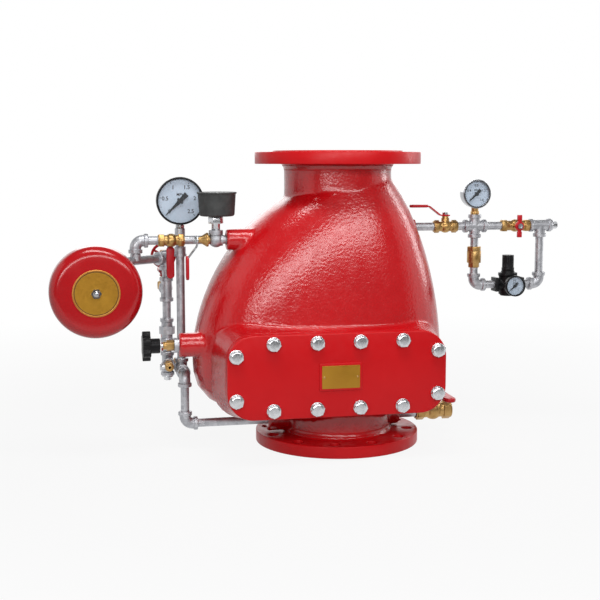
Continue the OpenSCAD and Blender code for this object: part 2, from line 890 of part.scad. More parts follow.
module seal_clamp_plate() color("silver") difference() {
    union() {
        rod(plate_d, seal_bottom - plate_t, seal_bottom);
        rod(seal_id, seal_bottom, disc_bottom);
    }
    rod(clapper_bolt_d + 2 * seat_clear, seal_bottom - plate_t - cut, disc_bottom + cut);
}

module clapper_bolt() color("silver") {
    hex(clapper_bolt_hex, seal_bottom - plate_t - 10, seal_bottom - plate_t);
    rod(clapper_bolt_d, seal_bottom - plate_t, clapper_boss_top + 16);
    difference() {
        hex(clapper_bolt_hex, clapper_boss_top, clapper_boss_top + 13);
        rod(clapper_bolt_d + 2 * seat_clear, clapper_boss_top - cut, clapper_boss_top + stem_through);
    }
}

module hinge_ear() {
    linear_extrude(ear_t) {
        translate([-hinge_x, hinge_z]) circle(d = hub_d);
        polygon([
            [-hinge_x - bracket_w / 2, pad_top], [-hinge_x + bracket_w / 2, pad_top],
            [-hinge_x + hub_d / 2, hinge_z], [-hinge_x - hub_d / 2, hinge_z]
        ]);
    }
}

module hinge_bracket() color("darkgoldenrod") difference() {
    union() {
        translate([-hinge_x - bracket_w / 2, -ear_outer, pad_top])
            cube([bracket_w, 2 * ear_outer, bracket_t]);
        for (y = [ear_outer, -ear_inner]) translate([0, y, 0]) rotate([90, 0, 0]) hinge_ear();
    }
    translate([-hinge_x, ear_outer + cut, hinge_z]) rotate([90, 0, 0])
        cylinder(d = hinge_pin_d + 2 * seat_clear, h = 2 * ear_outer + 2 * cut);
}

module hinge_pin() color("silver") translate([-hinge_x, 0, hinge_z]) rotate([90, 0, 0]) {
    rod(hinge_pin_d, -ear_outer - 3, ear_outer);
    rod(hinge_pin_d + 8, ear_outer, ear_outer + hinge_pin_head);
}

// Switch line: angle ball valve, its stem to the left, and the pressure switch on top
module switch_valve_body() color("lightgray") translate(p_switch) difference() {
    union() {
        sphere(d = angle_body_d);
        rod(fitting_d + 2, 0, angle_top);
        rod(band_d, angle_top - 9, angle_top);
        along(right) {
            rod(fitting_d + 2, 0, switch_x - boss_end - 7);
            rod(pipe_od, 0, switch_x - boss_end + grip);
        }
    }
    sphere(d = angle_ball_d + 2 * free_clear);
    along(right) rod(pipe_id - 3, 0, 2 * reach);
    rod(pipe_id - 3, 0, reach);
    rod(pipe_od + 2 * seat_clear, angle_top - grip, reach);
    along(left) rod(angle_bonnet_neck + 6 + 2 * seat_clear, angle_ball_d / 2 - 2, reach);
}

module switch_valve_bonnet() color("goldenrod") place(p_switch, up, left) difference() {
    union() {
        rod(angle_bonnet_neck + 6, angle_ball_d / 2 + free_clear, angle_bonnet_from);
        rod(angle_bonnet_neck + 6, angle_bonnet_from, angle_body_d / 2);
        translate([0, 0, angle_body_d / 2]) rotate_extrude() polygon([
            [0, 0], [angle_bonnet_d / 2, 0], [angle_bonnet_d / 2, 3],
            [angle_bonnet_neck / 2, bonnet_cone_h - 4],
            [angle_bonnet_neck / 2, bonnet_cone_h], [0, bonnet_cone_h]
        ]);
    }
    sphere(d = angle_ball_d + 2 * free_clear);
    rod(stem_d + 2 * run_clear, 0, angle_bonnet_to + cut);
}

module switch_valve_stem() color("silver") place(p_switch, down, left) {
    ball_and_stem(angle_ball_d, angle_bonnet_to);
    lever_nut(angle_bonnet_to);
}

module switch_valve_lever() color("crimson") place(p_switch, down, left) lever(angle_bonnet_to, switch_lever_rise);

module pressure_switch() color("dimgray") translate(p_switch + up * switch_from) difference() {
    rotate_extrude() polygon(concat(
        [[0, 0]],
        [for (k = [0 : 6]) [
            switch_foot_d / 2 + switch_foot_r * (sin(15 * k) - 1) + 2,
            switch_foot_r * (1 - cos(15 * k))
        ]],
        [
            [switch_belt_d / 2, switch_h - switch_lip], [switch_d / 2, switch_h - switch_lip],
            [switch_d / 2, switch_h], [0, switch_h]
        ]
    ));
    rod(switch_d - 2 * switch_wall, switch_h - 2, switch_h + cut);
}

module pressure_switch_base() color("lightgray") translate(p_switch) difference() {
    union() {
        rod(pipe_od, angle_top - grip, switch_hex_from);
        hex(switch_hex, switch_hex_from, switch_from);
    }
    rod(pipe_id - 4, 0, switch_from - 4);
}

// Gong line: ball valve with its stem to the back
module gong_valve_body() color("goldenrod") place(p_gong_valve, right, back) ball_valve_body(ball_valve_l);

module gong_valve_stem() color("silver") place(p_gong_valve, down, back) {
    ball_and_stem(ball_d, bonnet_h);
    lever_nut(bonnet_h);
}

module gong_valve_lever() color("crimson") place(p_gong_valve, down, back) lever(bonnet_h, 0);

module test_valve_body() color("goldenrod") place(p_test_valve, back, up) ball_valve_body(ball_valve_l);

module test_valve_handle() color("crimson") place(p_test_valve, back, up) {
    ball_and_stem(ball_d, bonnet_h);
    lever_nut(bonnet_h);
    lever(bonnet_h, 6);
}

module return_valve_body() color("goldenrod") place(p_return_valve, back, left)
    ball_valve_body(ball_valve_l);

module return_valve_handle() color("crimson") place(p_return_valve, up, left) {
    ball_and_stem(ball_d, bonnet_h);
    lever_nut(bonnet_h);
    lever(bonnet_h, 10);
}

// Wheel valve: stem to the back of the header tee
module wheel_valve_body() color("goldenrod") place(p_header_tee, right, back) difference() {
    union() {
        rod(pipe_od, reach - grip, wheel_valve_from);
        hex(wheel_valve_d, wheel_valve_from, wheel_valve_from + wheel_valve_l);
        rod(wheel_bonnet_d, wheel_valve_from, wheel_valve_from + wheel_valve_l + wheel_bonnet_l);
    }
    rod(pipe_id, 0, wheel_valve_from + wheel_valve_l - 8);
    rod(wheel_stem_d + 2 * run_clear, 0, wheel_valve_from + wheel_valve_l + wheel_bonnet_l + cut);
}

module wheel_valve_wheel() color("crimson")
    place(p_header_tee + back * (wheel_valve_from + wheel_valve_l + wheel_bonnet_l), right, back) {
    rod(wheel_stem_d, -wheel_stem_l, free_clear);
    rod(wheel_hub_d, free_clear, free_clear + wheel_hub_l);
    translate([0, 0, free_clear + wheel_hub_l / 2]) {
        rotate_extrude() translate([(wheel_d - wheel_rim_d) / 2, 0]) circle(d = wheel_rim_d);
        for (k = [0 : 2]) rotate([0, 0, 120 * k + 90]) along(right)
            cylinder(d = wheel_rim_d - 1, h = (wheel_d - wheel_rim_d) / 2);
    }
}

// Drain cock: body forward from the cock tee, key to the left
module drain_cock_body() color("goldenrod") place(p_cock_tee, left, front) difference() {
    union() {
        rod(pipe_od, reach - grip, reach);
        hex(cock_d, reach, reach + 6);
        rod(cock_d - 1, reach + 6, reach + cock_l);
        rod(cock_nozzle_d, reach + cock_l, reach + cock_l + cock_nozzle_l);
    }
    rod(cock_bore, 0, 2 * reach + cock_l);
    translate([0, 0, reach + cock_key_at]) along(right) translate([0, 0, -reach])
        cylinder(d = cock_key_d + 2 * run_clear, h = 2 * reach);
}

module drain_cock_key() color("silver") place(p_cock_tee + front * (reach + cock_key_at), left, front) {
    difference() {
        along(right) rod(cock_key_d, -cock_d / 2, cock_key_out);
        translate([0, 0, -reach]) cylinder(d = cock_bore, h = 2 * reach);
    }
    translate([cock_key_out, -cock_wing.y / 2, -cock_wing.z / 2]) cube(cock_wing);
}

// Needle valve on the lower boss, axis to the left
module needle_valve_body() color("goldenrod") place(p_needle, up, left) difference() {
    union() {
        rod(needle_spigot_d, 0, bushing_l);
        hex(needle_hex, bushing_l, bushing_l + needle_body_l - 7);
        rod(needle_hex - 3, bushing_l, bushing_l + needle_body_l);
    }
    rod(needle_stem_d + 2 * run_clear, 6, 2 * needle_body_l);
    rod(4, -cut, needle_body_l);
}

module needle_valve_stem() color("silver") place(p_needle, up, left) {
    rod(needle_stem_d, bushing_l + 3, needle_knob_from);
    rod(needle_stem_d - 2, needle_knob_from, needle_knob_from + needle_hub_l);
}

module needle_valve_knob() color("black") place(p_needle + left * needle_knob_from, up, left) difference() {
    union() {
        rod(needle_hub_d, 0, needle_hub_l + 2);
        translate([0, 0, needle_hub_l]) linear_extrude(needle_star_l) {
            circle(d = needle_star_d);
            for (k = [0 : needle_lobes - 1]) rotate(360 * k / needle_lobes)
                translate([needle_star_d / 2 - 2, 0]) circle(d = needle_lobe_d);
        }
    }
    rod(needle_stem_d - 2 + 2 * seat_clear, -cut, needle_hub_l);
}

// Gauges
module water_gauge_case() color("black") place(p_water_gauge, right, front) {
    gauge_case(water_gauge_d, water_gauge_depth, water_stem_d, water_gauge_rise);
}

module water_gauge_pointer() color("black") place(p_water_gauge, right, front) gauge_pointer(water_gauge_d);

module air_gauge_case() color("silver") place(p_air_gauge, right, front) {
    gauge_case(air_gauge_d, air_gauge_depth, air_stem_d, air_gauge_rise);
}

module air_gauge_pointer() color("black") place(p_air_gauge, right, front) gauge_pointer(air_gauge_d);

module regulator_gauge_case() color("black") place(p_regulator_gauge, right, front) {
    gauge_case(regulator_gauge_d, regulator_gauge_depth, regulator_stem_d, 0);
    rod(regulator_stem_d, -regulator_gauge_depth - regulator_gauge_stem - 6, -regulator_gauge_depth);
}

module regulator_gauge_pointer() color("black") place(p_regulator_gauge, right, front) {
    gauge_pointer(regulator_gauge_d);
}

module gauge_dials() color("white") {
    place(p_water_gauge, right, front) gauge_dial(water_gauge_d);
    place(p_air_gauge, right, front) gauge_dial(air_gauge_d);
    place(p_regulator_gauge, right, front) gauge_dial(regulator_gauge_d);
}

module gauge_lenses() color("lightblue", 0.4) {
    place(p_water_gauge, right, front) gauge_lens(water_gauge_d);
    place(p_air_gauge, right, front) gauge_lens(air_gauge_d);
    place(p_regulator_gauge, right, front) gauge_lens(regulator_gauge_d);
}

// Air line
module air_valve_body() color("goldenrod") place(p_air_valve, right, up) ball_valve_body(ball_valve_l);

module air_valve_stem() color("silver") place(p_air_valve, left, up) {
    ball_and_stem(ball_d, bonnet_h);
    lever_nut(bonnet_h);
}

module air_valve_lever() color("crimson") place(p_air_valve, left, up) lever(bonnet_h, 20);

module bypass_valve_body() color("goldenrod") place(p_bypass_valve, right, front)
    ball_valve_body(bypass_valve_l);

module bypass_valve_stem() color("silver") place(p_bypass_valve, up, front) {
    ball_and_stem(ball_d, bonnet_h);
    translate([0, 0, handle_t - lever_t]) lever_nut(bonnet_h);
}

// Butterfly handle along X, stem along Z
module bypass_valve_handle() color("crimson") place(p_bypass_valve, up, front) {
    bottom = bonnet_h + free_clear;
    difference() {
        translate([0, 0, bottom]) linear_extrude(handle_t) {
            circle(d = handle_hub_d);
            square([handle_l / 2, handle_w * 0.75], center = true);
            for (s = [-1, 1]) translate([s * (handle_l - handle_l / 4) / 2, 0])
                square([handle_l / 4, handle_w], center = true);
        }
        rod(stem_d - 2 + 2 * seat_clear, 0, 2 * bonnet_h);
    }
}

module check_valve_body() color("goldenrod") translate(p_check) difference() {
    union() {
        hex(check_foot_hex, 0, check_foot_l);
        rod(check_foot_hex - 1, 0, check_foot_l + 1);
        rod(check_belly_d, check_foot_l, check_foot_l + check_belly_l);
        hex(check_head_hex, check_foot_l + check_belly_l, check_l);
    }
    rod(pipe_od + 2 * seat_clear, -cut, grip);
    rod(poppet_d - 6, 0, check_l);
    rod(poppet_d + 2 * free_clear, poppet_seat, poppet_seat + poppet_room);
    rod(pipe_od + 2 * seat_clear, check_l - grip, check_l + cut);
}

module check_valve_poppet() color("silver") translate(p_check + up * (poppet_seat + free_clear))
    difference() {
        cylinder(d = poppet_d, h = poppet_h);
        rod(poppet_d - 8, 2, poppet_h + cut);
    }

module regulator_body() color("black") translate(p_regulator) {
    ring_from = regulator_high;
    neck_from = ring_from + regulator_ring_h;
    difference() {
        union() {
            rod(regulator_d, -regulator_low + 3, ring_from);
            rod(regulator_d - 6, -regulator_low, ring_from);
            rod(regulator_ring_d, ring_from, neck_from);
            rod(regulator_neck_d, neck_from, neck_from + regulator_neck_h);
            for (s = [left, right]) along(s) {
                rod(regulator_arm_d, 0, regulator_half);
                translate([0, 0, regulator_half - regulator_flange_t / 2])
                    cube([regulator_flange, regulator_flange, regulator_flange_t], center = true);
            }
            along(front) rod(regulator_pad_d, 0, regulator_front);
        }
        for (s = [left, right]) along(s) {
            rod(pipe_od + 2 * seat_clear, regulator_half - grip, regulator_half + cut);
            rod(pipe_id - 3, regulator_half - grip - 6, regulator_half);
        }
        along(front) rod(regulator_stem_d + 2 * seat_clear, regulator_front - 6, regulator_front + cut);
        rod(stem_d + 2 * run_clear, neck_from - 6, neck_from + regulator_neck_h + cut);
    }
}

module regulator_knob() color("black")
    translate(p_regulator + up * (regulator_high + regulator_ring_h + regulator_neck_h + free_clear)) {
    rod(stem_d, -8, 0);
    difference() {
        union() {
            rod(regulator_knob_d + 2, 0, 7);
            rod(regulator_knob_d, 0, regulator_knob_h);
        }
        for (k = [0 : regulator_knob_ribs - 1]) rotate([0, 0, 360 * k / regulator_knob_ribs])
            translate([regulator_knob_d / 2 + 0.6, 0, 9]) cylinder(d = 2.4, h = regulator_knob_h - 16);
    }
}

// Main drain valve: closed, lever forward
module drain_valve_body() color("goldenrod") place(p_drain_valve, right, up) scale(drain_scale)
    ball_valve_body(ball_valve_l);

module drain_valve_stem() color("silver") place(p_drain_valve, front, up) scale(drain_scale) {
    ball_and_stem(ball_d, bonnet_h);
    lever_nut(bonnet_h);
}

module drain_valve_lever() color("crimson") place(p_drain_valve, front, up) scale(drain_scale)
    lever(bonnet_h, 6);

// Gong: bell open to the back, water motor behind it
module gong_bell() color("red") place(p_gong, right, front) difference() {
    bell_solid(0);
    bell_solid(bell_t);
    rod(spindle_d + 2 * seat_clear, 0, 2 * bell_depth);
}

// Bell form: flat crown, rounded shoulder and a bead round the mouth, t inside its outer face
module bell_solid(t) {
    r = bell_d / 2 - 2;
    arc = [for (k = [0 : 6]) [
        r - bell_shoulder + bell_shoulder * cos(15 * k) - t * cos(15 * k),
        bell_depth - 4 - bell_shoulder + bell_shoulder * sin(15 * k) - t * sin(15 * k)
    ]];
    mouth_profile = t > 0
        ? [[0, -cut], [r - t, -cut]]
        : [[0, 0], [r, 0], [bell_d / 2, 1.5], [bell_d / 2, bell_bead - 1.5], [r, bell_bead]];
    rotate_extrude() polygon(concat(mouth_profile, arc, [[r / 2, bell_depth - t], [0, bell_depth - t]]));
}

module gong_motor_housing() color("firebrick") difference() {
    union() {
        place(p_gong, right, front) {
            rod(motor_d, motor_front - motor_l, motor_front + motor_lid);
            rod(motor_d - 2 * motor_lid_step, motor_front, motor_front + motor_lid + motor_lid_boss);
        }
        translate(p_header_tee) along(header_dir) {
            rod(motor_inlet_d, motor_inlet_from, motor_inlet_from + motor_inlet_l);
        }
    }
    place(p_gong, right, front) {
        rod(motor_d - 2 * motor_wall, motor_chamber_from, motor_chamber_to);
        rod(rotor_sleeve_d + 2 * run_clear, 0, motor_front + 16);
        rod(spindle_d + 2 * seat_clear, motor_front - motor_l - cut, 0);
    }
    translate(p_header_tee) along(header_dir) {
        rod(pipe_od + 2 * seat_clear, motor_inlet_from - cut, motor_inlet_from + grip);
        rod(6, motor_inlet_from, motor_inlet_from + motor_inlet_l - 12);
    }
}

module gong_spindle() color("silver") place(p_gong, right, front) {
    collar_top = bell_depth - bell_t;
    rod(spindle_d, motor_front - motor_l, bell_depth + bell_nut_h - free_clear);
    rod(spindle_collar_d, collar_top - spindle_collar_l, collar_top);
    difference() {
        union() {
            hex(bell_nut_hex, bell_depth, bell_depth + bell_nut_h);
            translate([0, 0, bell_depth + bell_nut_h - 2]) rotate_extrude()
                intersection() {
                    circle(d = bell_nut_hex - 2);
                    square(bell_nut_hex);
                }
        }
        rod(spindle_d + 2 * seat_clear, bell_depth - cut, bell_depth + bell_nut_h);
    }
}

module gong_rotor() color("lightgray") place(p_gong, right, front) {
    sleeve_to = bell_depth - bell_t - spindle_collar_l - 1;
    blade_r = motor_d / 2 - motor_wall - 2;
    arm_from = sleeve_to - striker_t - 2;
    difference() {
        union() {
            rod(rotor_hub_d, motor_chamber_from + 1, motor_chamber_to - 1);
            rod(rotor_sleeve_d, motor_chamber_from + 1, sleeve_to);
            for (k = [0 : rotor_blades - 1]) rotate([0, 0, 360 * k / rotor_blades])
                translate([0, -rotor_blade_t / 2, motor_chamber_from + 3])
                    cube([blade_r, rotor_blade_t, motor_chamber_to - motor_chamber_from - 6]);
            translate([-striker_w / 2, -striker_r, arm_from]) cube([striker_w, striker_r, striker_t]);
            translate([0, -striker_r, arm_from + striker_t]) rod(hammer_d, -hammer_l, 0);
        }
        rod(spindle_d + 2 * run_clear, -2 * motor_l, bell_depth);
    }
}

// Shared trim
module trim_fittings() color("lightgray") {
    elbow(p_gong_elbow, right, down);
    elbow(p_return_elbow, back, down);
    elbow(p_drain_elbow, right, up);
    elbow(p_loop_left, right, up);
    elbow(p_loop_right, left, up);
    branch_fitting(p_header_tee, [header_dir, down, back]);
    branch_fitting(p_test_tee, [up, down, back]);
    branch_fitting(p_cock_tee, [up, down, front]);
    branch_fitting(p_return_tee, [up, front, back]);
    branch_fitting(p_cross, [left, right, up, down]);
    branch_fitting(p_air_tee, [left, right, down]);
    pipe_union();
    socket_fitting(p_coupling, fitting_d, coupling_half);
    socket_fitting(p_gauge_socket, gauge_socket_d, gauge_socket_half);
    needle_bushing();
}

module pipe_union() {
    translate(p_union) difference() {
        union() {
            rod(fitting_d, -reach, reach);
            hex(union_hex - 6, -union_hex_l / 2, union_hex_l / 2);
            band(up);
            band(down);
        }
        rod(pipe_id, -reach, reach);
        mouth(up);
        mouth(down);
    }
}

module socket_fitting(c, d, half) {
    translate(c) difference() {
        union() {
            rod(d, -half, half);
            rod(d + 3, -half, -half + 5);
        }
        rod(pipe_od + 2 * seat_clear, -half - cut, half + cut);
    }
}

module needle_bushing() {
    place(p_needle, up, left) difference() {
        union() {
            rod(bushing_d, 0, bushing_l);
            rod(pipe_od, -grip, 0);
        }
        rod(needle_spigot_d + 2 * seat_clear, 0, bushing_l + cut);
        rod(6, -grip - cut, bushing_l);
    }
}

module trim_pipes() color("gainsboro") {
    gong_left = valve_seat_of(p_gong_valve, left, ball_valve_l);
    gong_right = valve_seat_of(p_gong_valve, right, ball_valve_l);
    pipe(gong_left, seat_of(p_gong_elbow, right));
    pipe(gong_right, [-line_boss_end + grip, 0, gong_line_z]);
    header_pipe();
    pipe(seat_of(p_header_tee, down), seat_of(p_test_tee, up));
    pipe(seat_of(p_test_tee, down), seat_of(p_union, up));
    pipe(seat_of(p_union, down), seat_of(p_cock_tee, up));
    pipe(seat_of(p_test_tee, back), valve_seat_of(p_test_valve, front, ball_valve_l));
    pipe(seat_of(p_return_tee, back), valve_seat_of(p_return_valve, front, ball_valve_l));
    pipe(seat_of(p_return_tee, up), p_gauge_socket);
    pipe(seat_of(p_return_tee, front), seat_of(p_return_elbow, back));
    pipe(seat_of(p_return_elbow, down), seat_of(p_drain_elbow, up));
    pipe(seat_of(p_drain_elbow, right), [-return_boss_end + grip, -return_front, drain_z]);
    pipe([air_boss_end - grip, air_line_back, air_line_z], valve_seat_of(p_air_valve, left, ball_valve_l));
    pipe(valve_seat_of(p_air_valve, right, ball_valve_l), seat_of(p_cross, left));
    pipe(seat_of(p_cross, right), valve_seat_of(p_bypass_valve, left, bypass_valve_l));
    pipe(valve_seat_of(p_bypass_valve, right, bypass_valve_l), seat_of(p_air_tee, left));
    pipe(seat_of(p_air_tee, down), seat_of(p_loop_right, up));
    pipe(seat_of(p_loop_right, left), p_regulator + right * (regulator_half - grip));
    pipe(p_regulator + left * (regulator_half - grip), seat_of(p_loop_left, right));
    pipe(seat_of(p_loop_left, up), p_check + up * grip);
    pipe(p_check + up * (check_l - grip), seat_of(p_cross, down));
    drain_nipple();
}

// Header from its tee to the gong motor, with a saddle branch up to the gong elbow
module header_pipe() {
    branch_top = gong_line_z - header_z - reach + grip;
    difference() {
        union() {
            translate(p_header_tee) along(header_dir) rod(pipe_od, reach - grip, motor_inlet_from + grip);
            translate(p_header_branch) {
                rod(saddle_d, 0, saddle_h);
                rod(pipe_od, saddle_h - cut, branch_top);
            }
        }
        translate(p_header_tee) along(header_dir) rod(pipe_id, 0, motor_inlet_from + grip + cut);
        translate(p_header_branch) {
            rod(pipe_id - 2, 0, saddle_h);
            rod(pipe_id, saddle_h, branch_top + cut);
        }
    }
}

module drain_nipple() {
    from = [drain_boss_end - drain_grip, 0, drain_z];
    to = p_drain_valve + left * (ball_valve_l / 2 - grip) * drain_scale;
    translate(from) along(right) difference() {
        cylinder(d = drain_pipe_od, h = norm(to - from));
        rod(drain_pipe_id, -cut, norm(to - from) + cut);
    }
}

module plug(c, v, hex_l) {
    translate(c) along(v) {
        rod(pipe_od, -grip, 0);
        rod(band_d - 4, 0, 3);
        hex(14, 3, 3 + hex_l);
    }
}

module trim_plugs() color("silver") {
    plug(p_cock_tee + down * reach, down, 7);
    plug(p_air_tee + right * reach, right, 11);
    plug(p_return_valve + back * ball_valve_l / 2, back, 8);
    plug(p_test_valve + back * ball_valve_l / 2, back, 8);
}

valve_body();
handhole_cover();
cover_gasket();
cover_bolts();
seat_ring();
clapper();
clapper_seal();
seal_clamp_plate();
clapper_bolt();
hinge_bracket();
hinge_pin();
switch_valve_body();
switch_valve_bonnet();
switch_valve_stem();
switch_valve_lever();
pressure_switch();
pressure_switch_base();
gong_valve_body();
gong_valve_stem();
gong_valve_lever();
test_valve_body();
test_valve_handle();
return_valve_body();
return_valve_handle();
wheel_valve_body();
wheel_valve_wheel();
drain_cock_body();
drain_cock_key();
needle_valve_body();
needle_valve_stem();
needle_valve_knob();
water_gauge_case();
water_gauge_pointer();
air_gauge_case();
air_gauge_pointer();
regulator_gauge_case();
regulator_gauge_pointer();
gauge_dials();
gauge_lenses();
air_valve_body();
air_valve_stem();
air_valve_lever();
bypass_valve_body();
bypass_valve_stem();
bypass_valve_handle();
check_valve_body();
check_valve_poppet();
regulator_body();
regulator_knob();
drain_valve_body();
drain_valve_stem();
drain_valve_lever();
gong_bell();
gong_motor_housing();
gong_spindle();
gong_rotor();
trim_fittings();
trim_pipes();
trim_plugs();
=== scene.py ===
import json
import math

import bmesh
import bpy
from mathutils import Matrix, Vector


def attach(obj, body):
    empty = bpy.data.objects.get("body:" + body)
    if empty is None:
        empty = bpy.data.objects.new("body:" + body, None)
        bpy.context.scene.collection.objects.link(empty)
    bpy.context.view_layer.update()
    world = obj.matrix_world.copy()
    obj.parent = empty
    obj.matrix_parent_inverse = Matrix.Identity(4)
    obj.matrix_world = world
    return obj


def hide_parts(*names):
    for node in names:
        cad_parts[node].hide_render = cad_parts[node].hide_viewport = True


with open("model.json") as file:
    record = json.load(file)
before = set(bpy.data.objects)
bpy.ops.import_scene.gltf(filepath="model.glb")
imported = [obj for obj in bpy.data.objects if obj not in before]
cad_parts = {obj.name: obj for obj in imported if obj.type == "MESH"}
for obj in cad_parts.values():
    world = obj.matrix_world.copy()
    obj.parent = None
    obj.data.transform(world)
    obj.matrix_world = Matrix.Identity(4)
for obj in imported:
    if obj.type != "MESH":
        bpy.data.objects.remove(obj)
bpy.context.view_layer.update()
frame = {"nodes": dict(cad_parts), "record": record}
nodes = frame["nodes"]

MM = 0.001
RIGHT, LEFT = Vector((1, 0, 0)), Vector((-1, 0, 0))
BACK, FRONT = Vector((0, 1, 0)), Vector((0, -1, 0))
UP, DOWN = Vector((0, 0, 1)), Vector((0, 0, -1))


# Materials: every pattern reads Object coordinates, in metres
class Finish:
    def __init__(self, name, color, metallic=0.0, roughness=0.4, **sockets):
        self.mat = bpy.data.materials.new(name)
        self.mat.use_nodes = True
        self.tree = self.mat.node_tree
        self.shader = self.tree.nodes["Principled BSDF"]
        self.shader.inputs["Base Color"].default_value = (*color, 1)
        self.shader.inputs["Metallic"].default_value = metallic
        self.shader.inputs["Roughness"].default_value = roughness
        for socket, value in sockets.items():
            self.shader.inputs[socket.replace("_", " ")].default_value = value
        self.coords = self.tree.nodes.new("ShaderNodeTexCoord").outputs["Object"]
        self.normal = None

    def noise(self, scale, detail=3.0, rough=0.5):
        node = self.tree.nodes.new("ShaderNodeTexNoise")
        node.inputs["Scale"].default_value = scale
        node.inputs["Detail"].default_value = detail
        node.inputs["Roughness"].default_value = rough
        self.tree.links.new(self.coords, node.inputs["Vector"])
        return node.outputs["Fac"]

    def cells(self, scale):
        node = self.tree.nodes.new("ShaderNodeTexVoronoi")
        node.inputs["Scale"].default_value = scale
        self.tree.links.new(self.coords, node.inputs["Vector"])
        return node.outputs["Color"], node.outputs["Distance"]

    def ramp(self, value, stops):
        node = self.tree.nodes.new("ShaderNodeValToRGB")
        elements = node.color_ramp.elements
        while len(elements) < len(stops):
            elements.new(0.5)
        for element, (place, color) in zip(elements, stops):
            element.position = place
            element.color = (*color, 1)
        self.tree.links.new(value, node.inputs["Fac"])
        return node.outputs["Color"]

    def span(self, value, low, high, start=0.3, end=0.7):
        node = self.tree.nodes.new("ShaderNodeMapRange")
        node.inputs["From Min"].default_value = start
        node.inputs["From Max"].default_value = end
        node.inputs["To Min"].default_value = low
        node.inputs["To Max"].default_value = high
        self.tree.links.new(value, node.inputs["Value"])
        return node.outputs["Result"]

    def tone(self, value, stops):
        self.tree.links.new(self.ramp(value, stops), self.shader.inputs["Base Color"])
        return self

    def gloss(self, value, low, high):
        self.tree.links.new(self.span(value, low, high), self.shader.inputs["Roughness"])
        return self

    def relief(self, value, depth_mm, strength=1.0):
        node = self.tree.nodes.new("ShaderNodeBump")
        node.inputs["Strength"].default_value = strength
        node.inputs["Distance"].default_value = depth_mm * MM
        self.tree.links.new(value, node.inputs["Height"])
        if self.normal is not None:
            self.tree.links.new(self.normal, node.inputs["Normal"])
        self.normal = node.outputs["Normal"]
        self.tree.links.new(self.normal, self.shader.inputs["Normal"])
        return self


def cast_enamel():
    f = Finish("cast_enamel", (0.50, 0.003, 0.006), roughness=0.3, Specular_IOR_Level=0.68)
    f.tone(f.noise(7, 4), [(0.3, (0.45, 0.002, 0.005)), (0.7, (0.53, 0.004, 0.007))])
    f.gloss(f.noise(60, 3), 0.18, 0.28)
    f.relief(f.noise(14, 2), 2.2, 0.3)
    f.relief(f.noise(190, 2, 0.45), 0.6, 1.0)
    return f.mat


def plate_enamel():
    f = Finish("plate_enamel", (0.54, 0.004, 0.007), roughness=0.4, Specular_IOR_Level=0.25)
    f.tone(f.noise(6, 3), [(0.3, (0.51, 0.003, 0.006)), (0.7, (0.57, 0.005, 0.008))])
    f.gloss(f.noise(80, 3), 0.30, 0.42)
    f.relief(f.noise(220, 2, 0.4), 0.15, 0.7)
    return f.mat


def bell_enamel():
    f = Finish("bell_enamel", (0.41, 0.003, 0.006), roughness=0.24, Specular_IOR_Level=0.5)
    f.tone(f.noise(9, 3), [(0.3, (0.38, 0.002, 0.005)), (0.7, (0.44, 0.004, 0.007))])
    f.gloss(f.noise(50, 3), 0.16, 0.22)
    f.relief(f.noise(120, 2, 0.4), 0.02, 0.5)
    return f.mat


def lever_vinyl():
    f = Finish("lever_vinyl", (0.48, 0.009, 0.016), roughness=0.34, Specular_IOR_Level=0.3)
    f.tone(f.noise(40, 3), [(0.3, (0.43, 0.007, 0.013)), (0.7, (0.53, 0.011, 0.019))])
    f.gloss(f.noise(160, 3), 0.28, 0.42)
    f.relief(f.noise(400, 2), 0.06, 0.6)
    return f.mat


def galvanised_iron():
    f = Finish("galvanised_iron", (0.46, 0.465, 0.49), metallic=1.0, roughness=0.5)
    color, _ = f.cells(120)
    grey = f.tree.nodes.new("ShaderNodeRGBToBW")
    f.tree.links.new(color, grey.inputs["Color"])
    f.tone(grey.outputs["Val"], [(0.2, (0.39, 0.395, 0.42)), (0.8, (0.53, 0.535, 0.56))])
    f.gloss(f.noise(220, 4, 0.6), 0.42, 0.58)
    f.relief(f.noise(260, 3), 0.08, 0.6)
    return f.mat


def zinc_plate():
    f = Finish("zinc_plate", (0.62, 0.63, 0.65), metallic=1.0, roughness=0.25)
    f.tone(f.noise(140, 4), [(0.3, (0.54, 0.55, 0.57)), (0.7, (0.70, 0.71, 0.73))])
    f.gloss(f.noise(300, 3), 0.18, 0.34)
    f.relief(f.noise(500, 2), 0.03, 0.5)
    return f.mat


def turned_steel():
    f = Finish("turned_steel", (0.58, 0.59, 0.60), metallic=1.0, roughness=0.3)
    f.tone(f.noise(90, 4), [(0.3, (0.50, 0.51, 0.52)), (0.7, (0.66, 0.67, 0.68))])
    f.gloss(f.noise(420, 4), 0.2, 0.38)
    f.relief(f.noise(700, 2), 0.02, 0.5)
    return f.mat


def yellow_brass():
    f = Finish("yellow_brass", (0.45, 0.27, 0.10), metallic=1.0, roughness=0.28)
    worn, plain, bright = (0.34, 0.19, 0.06), (0.45, 0.27, 0.10), (0.57, 0.37, 0.15)
    f.tone(f.noise(70, 4), [(0.25, worn), (0.5, plain), (0.75, bright)])
    f.gloss(f.noise(200, 4), 0.32, 0.48)
    f.relief(f.noise(320, 3), 0.05, 0.6)
    return f.mat


def cast_bronze():
    f = Finish("cast_bronze", (0.50, 0.31, 0.13), metallic=1.0, roughness=0.42)
    f.tone(f.noise(40, 5), [(0.25, (0.36, 0.22, 0.10)), (0.75, (0.60, 0.40, 0.18))])
    f.gloss(f.noise(150, 4), 0.34, 0.55)
    f.relief(f.noise(200, 3), 0.2, 0.7)
    return f.mat


def bright_chrome():
    f = Finish("bright_chrome", (0.36, 0.37, 0.39), metallic=1.0, roughness=0.16)
    f.gloss(f.noise(160, 3), 0.08, 0.18)
    f.relief(f.noise(60, 2), 0.02, 0.4)
    return f.mat


